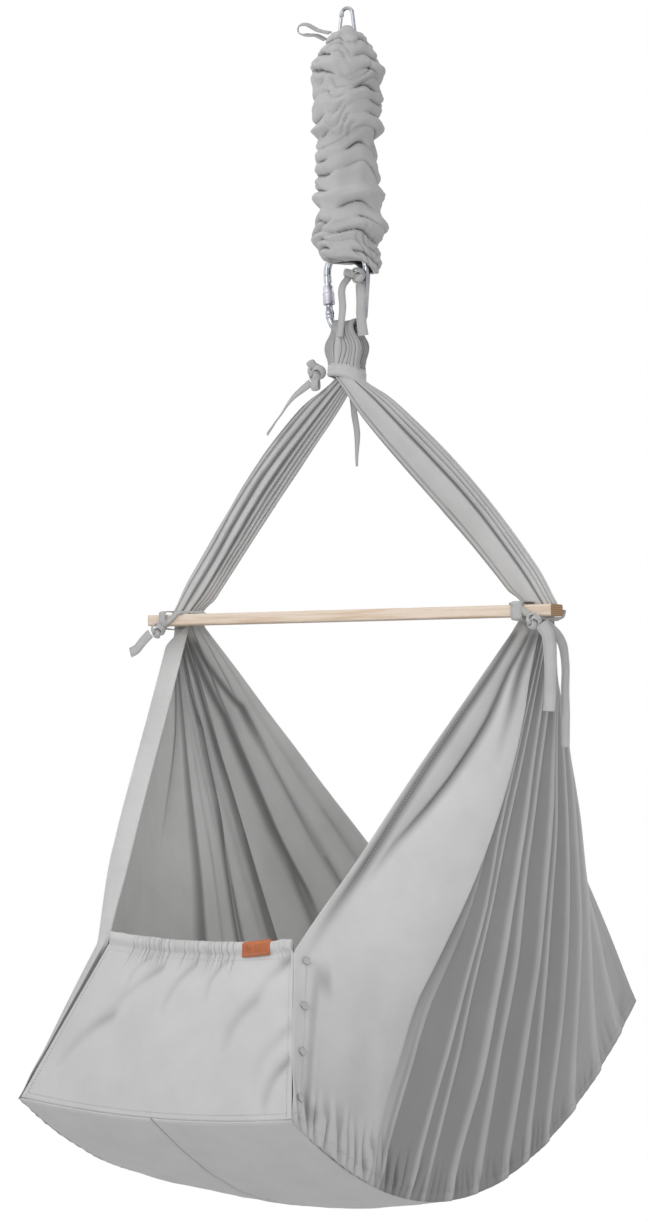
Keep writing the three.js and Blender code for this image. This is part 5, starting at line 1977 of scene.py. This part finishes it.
    def over_casing(self, wide: float, part: float) -> Vector:
        """The panel's cloth where it is folded over the casing.

        Args:
            wide: from -1 to 1 across.
            part: from 0 in front, under the casing, to 1 behind it.

        Returns:
            The point.
        """
        start = self.surface(wide, 1.0)
        centre = self.casing_point(wide)
        angle = lerp(-0.30 * pi, 1.06 * pi, part)
        ruffle = self.gather(wide + 0.012 * grain(wide * 14, part * 2, 85)) * lerp(1.0, 0.6, part)
        deep = 0.0046 + 0.0034 * max(ruffle, -0.25)
        high = 0.0071 + 0.0022 * ruffle + 0.0010 * grain(wide * 11, 0.0, 86)
        point = centre + Vector((0, self.panel.end * deep * cos(angle), high * sin(angle)))
        return start.lerp(point, smooth(part, 0.0, 0.16))

    def casing_point(self, wide: float) -> Vector:
        """The casing's middle across the panel."""
        high = BAG.corner(self.panel)[1]
        return Vector((wide * (high.x - self.casing_inset), high.y - self.panel.end * 0.00125,
                       high.z - self.panel.top_dip * (1 - wide * wide) + 0.0079))

    def casing(self) -> Piece:
        """Builds the gathered channel and the band inside it.

        Returns:
            The channel.
        """
        def place(across: float, along: float) -> Vector:
            """A point of the channel's outer face."""
            wide = along * 2 - 1
            angle = tau * across
            ruffle = self.gather(wide)
            centre = self.casing_point(wide)
            out = Vector((0, cos(angle), sin(angle)))
            depth = self.casing_half_depth + 0.0010 * ruffle
            height = self.casing_half_height + 0.0008 * ruffle + 0.0004 * grain(wide * 20, 0.0, 91)
            shift = 0.0012 * grain(wide * 15, out.z, 92)
            return centre + Vector((shift, depth * out.y, height * out.z))

        def crease(across: float, along: float) -> float:
            """Shade between the gathers."""
            return 0.8 * max(0.0, -self.gather(along * 2 - 1) * 2)

        mesh = wrap(26, 320, place, (0.04, 0.3), crease)
        piece = cloth(f"{self.prefix}_gathered_casing", mesh, f"{self.prefix}_casing", 0.9 * MM,
                      body=self.body)
        width = BAG.corner(self.panel)[1].x

        def band(across: float, along: float) -> Vector:
            """A point of the elastic's middle face."""
            return self.casing_point(along * 2 - 1) + Vector((0, 0, (across - 0.5) * 0.0050))

        strip = dress(f"{self.prefix}_elastic_band", patch(4, 120, band, (0.005, 2 * width)), Finish.ELASTIC,
                      self.body, "elastic_band", [f"{self.prefix}_elastic"], wall=0.0020)
        return piece


@dataclass
class Mattress:
    """A quilted foam pad that follows the bottom."""

    half_width: float = 0.186
    half_length: float = 0.396
    thick: float = 0.030
    edge: float = 0.009

    def place(self, across: float, along: float, side: float) -> Vector:
        """A point of the pad; side is 1 on top and 0 underneath.

        Args:
            across: the share across.
            along: the share from front to back.
            side: 1 on top and 0 underneath.

        Returns:
            The point.
        """
        wide = across * 2 - 1
        run = along * 2 - 1
        rim = (1 - abs(wide) ** 6) * (1 - abs(run) ** 12)
        point = BAG.bottom(wide * self.half_width / BAG.half_width, run * self.half_length)
        thick = lerp(self.edge, self.thick, sqrt(max(0.0, rim)))
        seat = 0.0032 + (1 - rim) * self.edge * 0.5
        point.z += seat + side * (thick - 0.003) * 0.98
        return point

    def build(self) -> None:
        """Builds the pad with its quilting."""
        def skin(across: float, along: float) -> Vector:
            """One closed skin: over the top and back underneath."""
            turn = across % 1
            run = lerp(0.006, 0.994, along)
            if turn <= 0.5:
                return self.place(lerp(0.01, 0.99, turn * 2), run, 1.0) + self.quilt(turn, along)
            return self.place(lerp(0.99, 0.01, turn * 2 - 1), run, 0.0)

        mesh = wrap(120, 110, skin, (0.8, 0.8))
        bmesh.ops.holes_fill(mesh, edges=[edge for edge in mesh.edges if edge.is_boundary], sides=0)
        bmesh.ops.triangulate(mesh, faces=[face for face in mesh.faces if len(face.verts) > 4])
        bmesh.ops.recalc_face_normals(mesh, faces=mesh.faces[:])
        piece = dress("quilted_mattress", mesh, Finish.TICKING, Body.CRADLE, "mattress_ticking", ["mattress"])

    def quilt(self, turn: float, along: float) -> Vector:
        """The stitched channels' depth on the top face."""
        across = turn * 2
        line = min(abs(sin(pi * across * 5)), abs(sin(pi * along * 9)))
        return Vector((0, 0, -0.0022 * (1 - smooth(line, 0.0, 0.35))))


@dataclass
class Tag:
    """A bare leather tag folded over the front casing."""

    x: float = 0.086
    width: float = 0.040
    drop: float = 0.0185
    thick: float = 0.0018
    # Half of what lies between its two leaves, how high it reaches over the casing, and its bend
    inside: float = 0.0058
    over: float = 0.0084
    bend: float = 0.0036

    def build(self, front: Panel) -> None:
        """Builds the folded leather and its stitches.

        Args:
            front: the panel whose casing carries it.
        """
        centre = front.casing_point(self.x / (BAG.corner(FRONT)[1].x - front.casing_inset))
        inside, over, bend = self.inside, self.over, self.bend
        line = [Vector((0, inside, over - self.drop)), Vector((0, inside, over - bend))]
        for index in range(1, 12):
            angle = pi * index / 12
            line.append(Vector((0, inside * cos(angle), over - bend + bend * sin(angle))))
        line += [Vector((0, -inside, over - bend)), Vector((0, -inside - 0.0004, over - self.drop))]

        def place(across: float, along: float) -> Vector:
            """A point of the leather's inner face."""
            point = line[round(along * (len(line) - 1))]
            wide = (across - 0.5) * self.width
            curve = 0.0006 * cos(pi * (across - 0.5) * 1.6)
            return centre + Vector((wide, point.y - curve, point.z + 0.005 * (across - 0.5)))

        mesh = patch(24, len(line) - 1, place, (self.width, 0.045))
        bmesh.ops.recalc_face_normals(mesh, faces=mesh.faces[:])
        piece = dress("folded_leather_tag", mesh, Finish.LEATHER, Body.FLAP, "tag_leather", ["leather_tag"],
                      wall=self.thick, offset=1.0, sharp=60)
        edge = piece.modifiers.new("edge", "BEVEL")
        edge.width = 0.0005
        edge.segments = 2
        lift = Vector((0, -self.thick - 0.2 * MM, 3.0 * MM))
        row = [place(across, 1.0) + lift for across in spaced(30, 0.06, 0.94)]
        sewn = sewing("leather_tag", [stitches(row, 2.6 * MM, FINE_THREAD)], Body.FLAP, "tag_leather")


@dataclass
class Snaps:
    """Ring snaps on the fans' front edges and the studs that they close on."""

    radius: float = 0.0054
    height: float = 0.0013
    dish: float = 0.0006
    # A cap's ring, from the middle of its flat back: shares of its radius and of its height
    CAP_SHARES: ClassVar[tuple[tuple[float, float], ...]] = (
        (0, 0), (0.96, 0), (1, 0.4), (0.97, 0.8), (0.90, 1), (0.82, 0.95), (0.78, 0.7))

    def build(self) -> None:
        """Builds each cap and stud where the frame has it."""
        for word in ("right", "left"):
            for number in range(1, 5):
                self.one(f"{word}_snap_cap_{number}", True)
                self.one(f"{word}_snap_stud_{number}", False)

    def axis(self, node: str, is_cap: bool) -> tuple[Vector, Vector]:
        """The seat and the direction of a snap, from its node's own points.

        Args:
            node: the frame's node.
            is_cap: whether it is a cap.

        Returns:
            The seat and the outward direction.
        """
        points = [vert.co.copy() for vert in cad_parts[node].data.vertices]
        middle = sum(points, Vector()) / len(points)
        shortest = None
        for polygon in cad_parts[node].data.polygons:
            normal = polygon.normal
            reach = [(point - middle).dot(normal) for point in points]
            span = max(reach) - min(reach)
            if shortest is None or span < shortest[0]:
                shortest = (span, normal.copy(), min(reach))
        way = shortest[1]
        low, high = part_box(node)
        centre = (low + high) / 2
        # A cap looks away from the bag's middle, a stud towards it
        outward = way.x * centre.x
        if (is_cap and outward < 0) or (not is_cap and outward > 0):
            way.negate()
        reach = [(point - centre).dot(way) for point in points]
        return centre + way * min(reach), way

    def one(self, node: str, is_cap: bool) -> None:
        """Builds one cap or stud.

        Args:
            node: the frame's node.
            is_cap: whether it is a cap.
        """
        seat, way = self.axis(node, is_cap)
        if is_cap:
            body = Body.CRADLE
            dished = self.height - self.dish
            profile = [(self.radius * reach, self.height * rise) for reach, rise in self.CAP_SHARES]
            profile += [(self.radius * 0.76, dished), (0, dished)]
        else:
            body = Body.FLAP
            profile = [(0, 0), (0.0039, 0), (0.004, 0.0004), (0.0034, 0.0010), (0.0018, 0.0012), (0, 0.0012)]
        mesh = point_along(lathe(profile, 32), way, seat)
        dress(f"{node}_ring", mesh, Finish.SNAP, body, "snap_steel", [node], sharp=50)


# Studio

WHITE = (1, 1, 1, 1)
# Soft lamps: where each stands, what it points at, its side, its watts and its spread in degrees
LAMPS = {
    "key_light": ((-0.4, -4.0, 0.5), (0, 0, -1.15), 1.8, 36, 180),
    "side_light": ((-3.4, -1.6, 0.3), (0, 0, -1.1), 2.2, 18, 180),
    "top_light": ((-0.4, -0.6, 1.9), (0, 0, -1.0), 2.0, 12, 180),
    "inner_light": ((0.9, 1.6, 0.4), (-0.22, 0.1, -1.2), 0.4, 0.7, 50),
    "fill_light": ((1.5, -1.3, -1.1), (0.1, 0, -1.2), 0.8, 1.5, 90),
    "opening_light": ((1.0, -1.6, -0.6), (-0.2, 0.2, -1.1), 0.4, 0.20, 26)}


@dataclass
class Studio:
    """Camera, soft lights, a pale floor and a white backdrop."""

    azimuth: float = 33.0
    distance: float = 3.93
    height: float = -0.9646
    pitch: float = 2.47
    lens: float = 88.45
    shift: float = -0.0188
    floor: float = -1.95
    # Small enough that views from below show the cradle
    floor_half: float = 1.8
    # How much of the floor's own look is lost to plain white
    floor_white_share: float = 0.86
    world_light: float = 0.48

    def camera(self) -> None:
        """Places the camera where the photograph was taken from."""
        data = bpy.data.cameras.new("camera")
        data.lens = self.lens
        data.sensor_width = 36.0
        data.shift_x = self.shift
        data.clip_end = 60
        camera = bpy.data.objects.new("camera", data)
        angle = radians(self.azimuth)
        camera.location = (self.distance * sin(angle), -self.distance * cos(angle), self.height)
        camera.rotation_euler = (radians(90 + self.pitch), 0, angle)
        bpy.context.scene.collection.objects.link(camera)
        bpy.context.scene.camera = camera

    def lamp(self, name: str, place: tuple[float, float, float], aim: tuple[float, float, float],
             size: float, power: float, spread: float) -> None:
        """Adds one soft lamp.

        Args:
            name: its name.
            place: where it stands.
            aim: what it points at.
            size: its side.
            power: its strength in watts.
            spread: the angle that it shines into, in degrees.
        """
        data = bpy.data.lights.new(name, "AREA")
        data.shape = "SQUARE"
        data.size = size
        data.energy = power
        data.spread = radians(spread)
        lamp = bpy.data.objects.new(name, data)
        lamp.location = place
        lamp.rotation_mode = "QUATERNION"
        lamp.rotation_quaternion = (Vector(aim) - Vector(place)).to_track_quat("-Z", "Y")
        bpy.context.scene.collection.objects.link(lamp)

    def seen(self, tree: Tree) -> Socket:
        """Whether a ray comes from the camera or from a mirror-like reflection."""
        rays = add_node(tree, "LightPath").outputs
        return worked(tree, "MAXIMUM", rays["Is Camera Ray"], rays["Is Glossy Ray"])

    def world(self) -> None:
        """A dim even light, and plain white for the camera and for reflections."""
        world = bpy.data.worlds.new("studio")
        bpy.context.scene.world = world
        world.use_nodes = True
        tree = world.node_tree
        tree.nodes.clear()
        seen = worked(tree, "MAXIMUM", self.seen(tree),
                      add_node(tree, "LightPath").outputs["Is Transmission Ray"])
        light = add_node(tree, "Background", None, {"Color": WHITE, "Strength": self.world_light})
        white = add_node(tree, "Background", None, {"Color": WHITE, "Strength": 1.0})
        both = add_node(tree, "MixShader", None, {0: seen, 1: light.outputs[0], 2: white.outputs[0]})
        add_node(tree, "OutputWorld", None, {0: both.outputs[0]})

    def ground(self) -> None:
        """A pale floor that keeps a soft shadow and otherwise shows as white."""
        mesh = bmesh.new()
        bmesh.ops.create_grid(mesh, x_segments=1, y_segments=1, size=self.floor_half)
        bmesh.ops.translate(mesh, verts=mesh.verts[:], vec=(0, 0, self.floor))
        data = bpy.data.meshes.new("floor")
        mesh.to_mesh(data)
        mesh.free()
        made = Shading("pale_floor")
        share = worked(made.tree, "MULTIPLY", self.seen(made.tree), self.floor_white_share)
        white = add_node(made.tree, "Emission", None, {"Color": WHITE, "Strength": 1.12})
        both = add_node(made.tree, "MixShader", None, {0: share, 1: made.shader.outputs[0],
                                                       2: white.outputs[0]})
        fill(made.tree, made.tree.nodes["Material Output"], {"Surface": both.outputs[0]})
        data.materials.append(made.finish({"Base Color": to_linear("#e9e9e9"), "Roughness": 0.9}))
        ground = bpy.data.objects.new("floor", data)
        bpy.context.scene.collection.objects.link(ground)

    def build(self) -> None:
        """Builds the whole studio."""
        bpy.context.scene.view_settings.view_transform = "Standard"
        self.camera()
        self.world()
        self.ground()
        for name, lamp in LAMPS.items():
            self.lamp(name, *lamp)


# The cradle

FRONT_FACE = (0.0, -1.0, 0.0)


def tapes() -> list[Tape]:
    """The tapes and tails, along the same points as in the frame, in millimetres."""
    return [
        Tape("sleeve_top_loop", ((-23, -6, -29), (-42, -6, -23), (-60, -6, -13), (-72, -6, -13),
                                 (-73, -6, -22), (-60, -6, -27), (-44, -6, -30), (-30, -6, -37)),
             ((0, -0.6, 1), (0.3, -0.6, 1), (0.3, -0.6, 1), (-0.7, -0.6, 0.6), (-1, -0.4, -0.5),
              (0.1, 0.6, -1), (-0.1, 0.6, -1), (-0.4, 0.6, -1)), 0.0084, Body.SPRING_TOP,
             "sleeve_top_tie", "ruched_sleeve"),
        Tape("sleeve_left_tape", ((10.1, -10.6, -357), (5, -20, -374), (6, -20, -400), (2, -21, -437)),
             (FRONT_FACE, FRONT_FACE, FRONT_FACE, (-0.2, -1, 0)), 0.0105, Body.SPRING_BOTTOM,
             "sleeve_tape_left", "sleeve_bow_knot"),
        Tape("sleeve_right_tape", ((28, -11.6, -366.5), (33, -18, -385), (35, -20, -410), (39, -21, -438)),
             (FRONT_FACE, FRONT_FACE, FRONT_FACE, (0.2, -1, 0)), 0.014, Body.SPRING_BOTTOM,
             "sleeve_tape_right", "sleeve_bow_knot"),
        Tape("left_arm_tape", ((-50, -10.5, -492.8), (-72, -20, -512), (-92, -20, -534), (-114, -19, -558)),
             ((0, -1, 0.2), (-0.4, -0.8, 0.4), (-0.55, -0.6, 0.55), (-0.5, -0.65, 0.5)), 0.0112, Body.CRADLE,
             "left_arm_tail", "left_arm_bow"),
        Tape("neck_hanging_tape", ((-6, 19, -493.2), (-2, 20, -530), (3, 20, -560), (2, 21, -604)),
             (FRONT_FACE,) * 4, 0.0090, Body.CRADLE, "neck_tail", "bound_neck", taper=0.6),
        Tape("left_bar_tape", ((-302.5, -25, -820), (-314, -27, -831), (-325, -26, -841), (-336, -25, -846)),
             ((0.2, -1, 0.4), (0.1, -1, 0.3), (0, -1, 0.2), (0, -1, 0.1)), 0.014, Body.CRADLE,
             "left_bar_tail", "left_bar_bow"),
        Tape("right_bar_tape", ((305.3, -25, -819.5), (316, -26, -835), (319, -27, -865), (318, -25, -900),
                                (316, -26, -929)),
             ((0, -1, 0.3), (0.2, -1, 0.2), FRONT_FACE, FRONT_FACE, FRONT_FACE), 0.0165, Body.CRADLE,
             "right_bar_tail", "right_bar_bow"),
        Tape("right_bar_back_tape", ((306.4, -18.5, -818), (323, -8, -838), (328, -4, -870), (329, -6, -915),
                                     (328, -4, -974)),
             ((0, -1, 0.4), (0.4, -1, 0), FRONT_FACE, FRONT_FACE, FRONT_FACE), 0.0112, Body.CRADLE,
             "right_bar_back_tail", "right_bar_bow"),
    ]


KNOTS = (
    Knot("sleeve_bow_knot", 0.0065, (24, -11.6, -356), Body.SPRING_BOTTOM, "sleeve_knot",
         ((-15, -9, 3, 5), (13, -11, -9, 6))),
    Knot("left_arm_bow", 0.008, (-42, -10, -480), Body.CRADLE, "left_arm_knot",
         ((-7, -4, 15, 6), (2, -5, -24, 7))),
    Knot("left_bar_bow", 0.0065, (-290, -25, -816), Body.CRADLE, "left_bar_knot"),
    Knot("right_bar_bow", 0.0065, (294, -24.4, -816), Body.CRADLE, "right_bar_knot"))


# The bar's middle height and where its ties sit along it, in millimetres
BAR_Z = -802
TIE_X = 276


def bar_tie(side: int) -> Tape:
    """A lashing of tape over the bar, round the back of the cloth and under the bar.

    Args:
        side: 1 on the right, -1 on the left.

    Returns:
        The closed tape.
    """
    rows = ((6, -17.8, -4.5, 0, -1, 0), (-8, -17.8, 5.25, 0, -1, 0.1), (-13, -17, 9.46, 0, -1, 0.8),
            (-22, -8.01, 10.7, -0.1, -0.2, 1), (-32, 9, 10.7, -0.6, 0, 1), (-34, 15, 10.3, -0.8, 0.4, 1),
            (-35, 24, 4.5, -1, 0, 0.5), (-27, 34.5, 1.5, -0.7, 0.8, 0), (0, 35.5, 0, 0, 1, 0),
            (27, 34.5, -1.5, 0.7, 0.8, 0), (36, 24, -4.5, 1, 0, -0.5), (34, 15, -10.3, 0.8, 0.4, -1),
            (32, 9, -10.7, 0.6, 0, -1), (24, -8.01, -10.7, 0.1, -0.2, -1), (14, -18.2, -8.25, 0, -1, -0.6))
    word = "right" if side > 0 else "left"
    route = tuple((side * (TIE_X + x), y, BAR_Z + z) for x, y, z, *_ in rows)
    faces = tuple((side * x, y, z) for *_, x, y, z in rows)
    return Tape(f"{word}_bar_lashing", route, faces, 0.0076, Body.CRADLE, f"{word}_bar_tie", "spreader_bar",
                is_loop=True, steps=150, wall=0.0011, cup=0.04)


def bar_wrap(side: int) -> Tape:
    """An upright turn of tape round the bar and the cloth, over the lashing.

    Args:
        side: 1 on the right, -1 on the left.

    Returns:
        The closed tape.
    """
    rows = ((11, -18.6, -4), (11, -18.6, 5), (11, -17.4, 10.4), (11, -8, 11.9), (11, 12, 11.9), (9, 26, 9),
            (8, 36.4, 0), (9, 26, -9), (11, 12, -11.9), (11, -8, -11.9), (11, -17.4, -10.4))
    # The right wrap is wider and stands nearer to the bar's middle
    word, shift, width = ("right", -21, 0.016) if side > 0 else ("left", 0, 0.011)
    route = tuple((side * (TIE_X + x + shift), y, BAR_Z + z) for x, y, z in rows)
    faces = tuple((0, (y - 9) / 27, z / 11) for x, y, z in rows)
    return Tape(f"{word}_bar_wrap", route, faces, width, Body.CRADLE, "", "spreader_bar", is_loop=True,
                steps=120, wall=0.0011, cup=0.03)


def dress_bar() -> None:
    """Gives the frame's own bar its wood."""
    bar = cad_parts["spreader_bar"]
    bar.data.materials.clear()
    bar.data.materials.append(finish_of(Finish.WOOD))


def main() -> None:
    """Builds the studio and the cradle."""
    logging.basicConfig(level=logging.INFO, format="%(message)s")
    Studio().build()
    SnapHook("top_hook", "top_hook_gate", "top_hook_rivet", rod=0.005, hinge_radius=0.0085,
             nose_radius=0.0145, length=0.070, hinge_z=-0.006, is_hinge_up=True, body=Body.HOOK,
             gate_body=Body.HOOK_GATE).build()
    carabiner = SnapHook("carabiner", "carabiner_gate", "carabiner_rivet", rod=0.010, hinge_radius=0.027,
                         nose_radius=0.031, length=0.122, hinge_z=-0.402, is_hinge_up=False,
                         body=Body.CARABINER, gate_body=Body.LOWER_GATE)
    carabiner.build()
    LockSleeve(carabiner).build()
    SpringUnit().build()
    Sleeve().build()
    HangingLoop().build()
    Arm(-1, "left_gathered_arm", "left_arm", 0.045).build()
    Arm(1, "right_gathered_arm", "right_arm", 0.018).build()
    dress_bar()
    Fan(1, "right_side_fan", "right_fan", RIGHT_PLEATS, RIGHT_GROOVES, strip=0.0, back_bulge=0.020,
        edge_shift=0.0, fold_zone_shade=0.85, fade=0.045).build()
    Fan(-1, "left_side_fan", "left_fan", LEFT_PLEATS, LEFT_GROOVES, strip=0.027, back_bulge=0.004,
        edge_shift=0.022, fold_zone_shade=0.0, fade=0.016).build()
    Bottom().build()
    front = Panel(FRONT, Body.FLAP, "front", FRONT_FOLDS, ((-0.76, 0.44), (0.82, 0.97)))
    front.build()
    Panel(BACK, Body.CRADLE, "back", BACK_FOLDS, ((-0.95, 0.95),)).build()
    Tag().build(front)
    Snaps().build()
    Mattress().build()
    for knot in KNOTS:
        knot.build()
    for tape in (*tapes(), bar_tie(1), bar_tie(-1), bar_wrap(1), bar_wrap(-1)):
        tape.build()


if __name__ == "__main__":
    main()
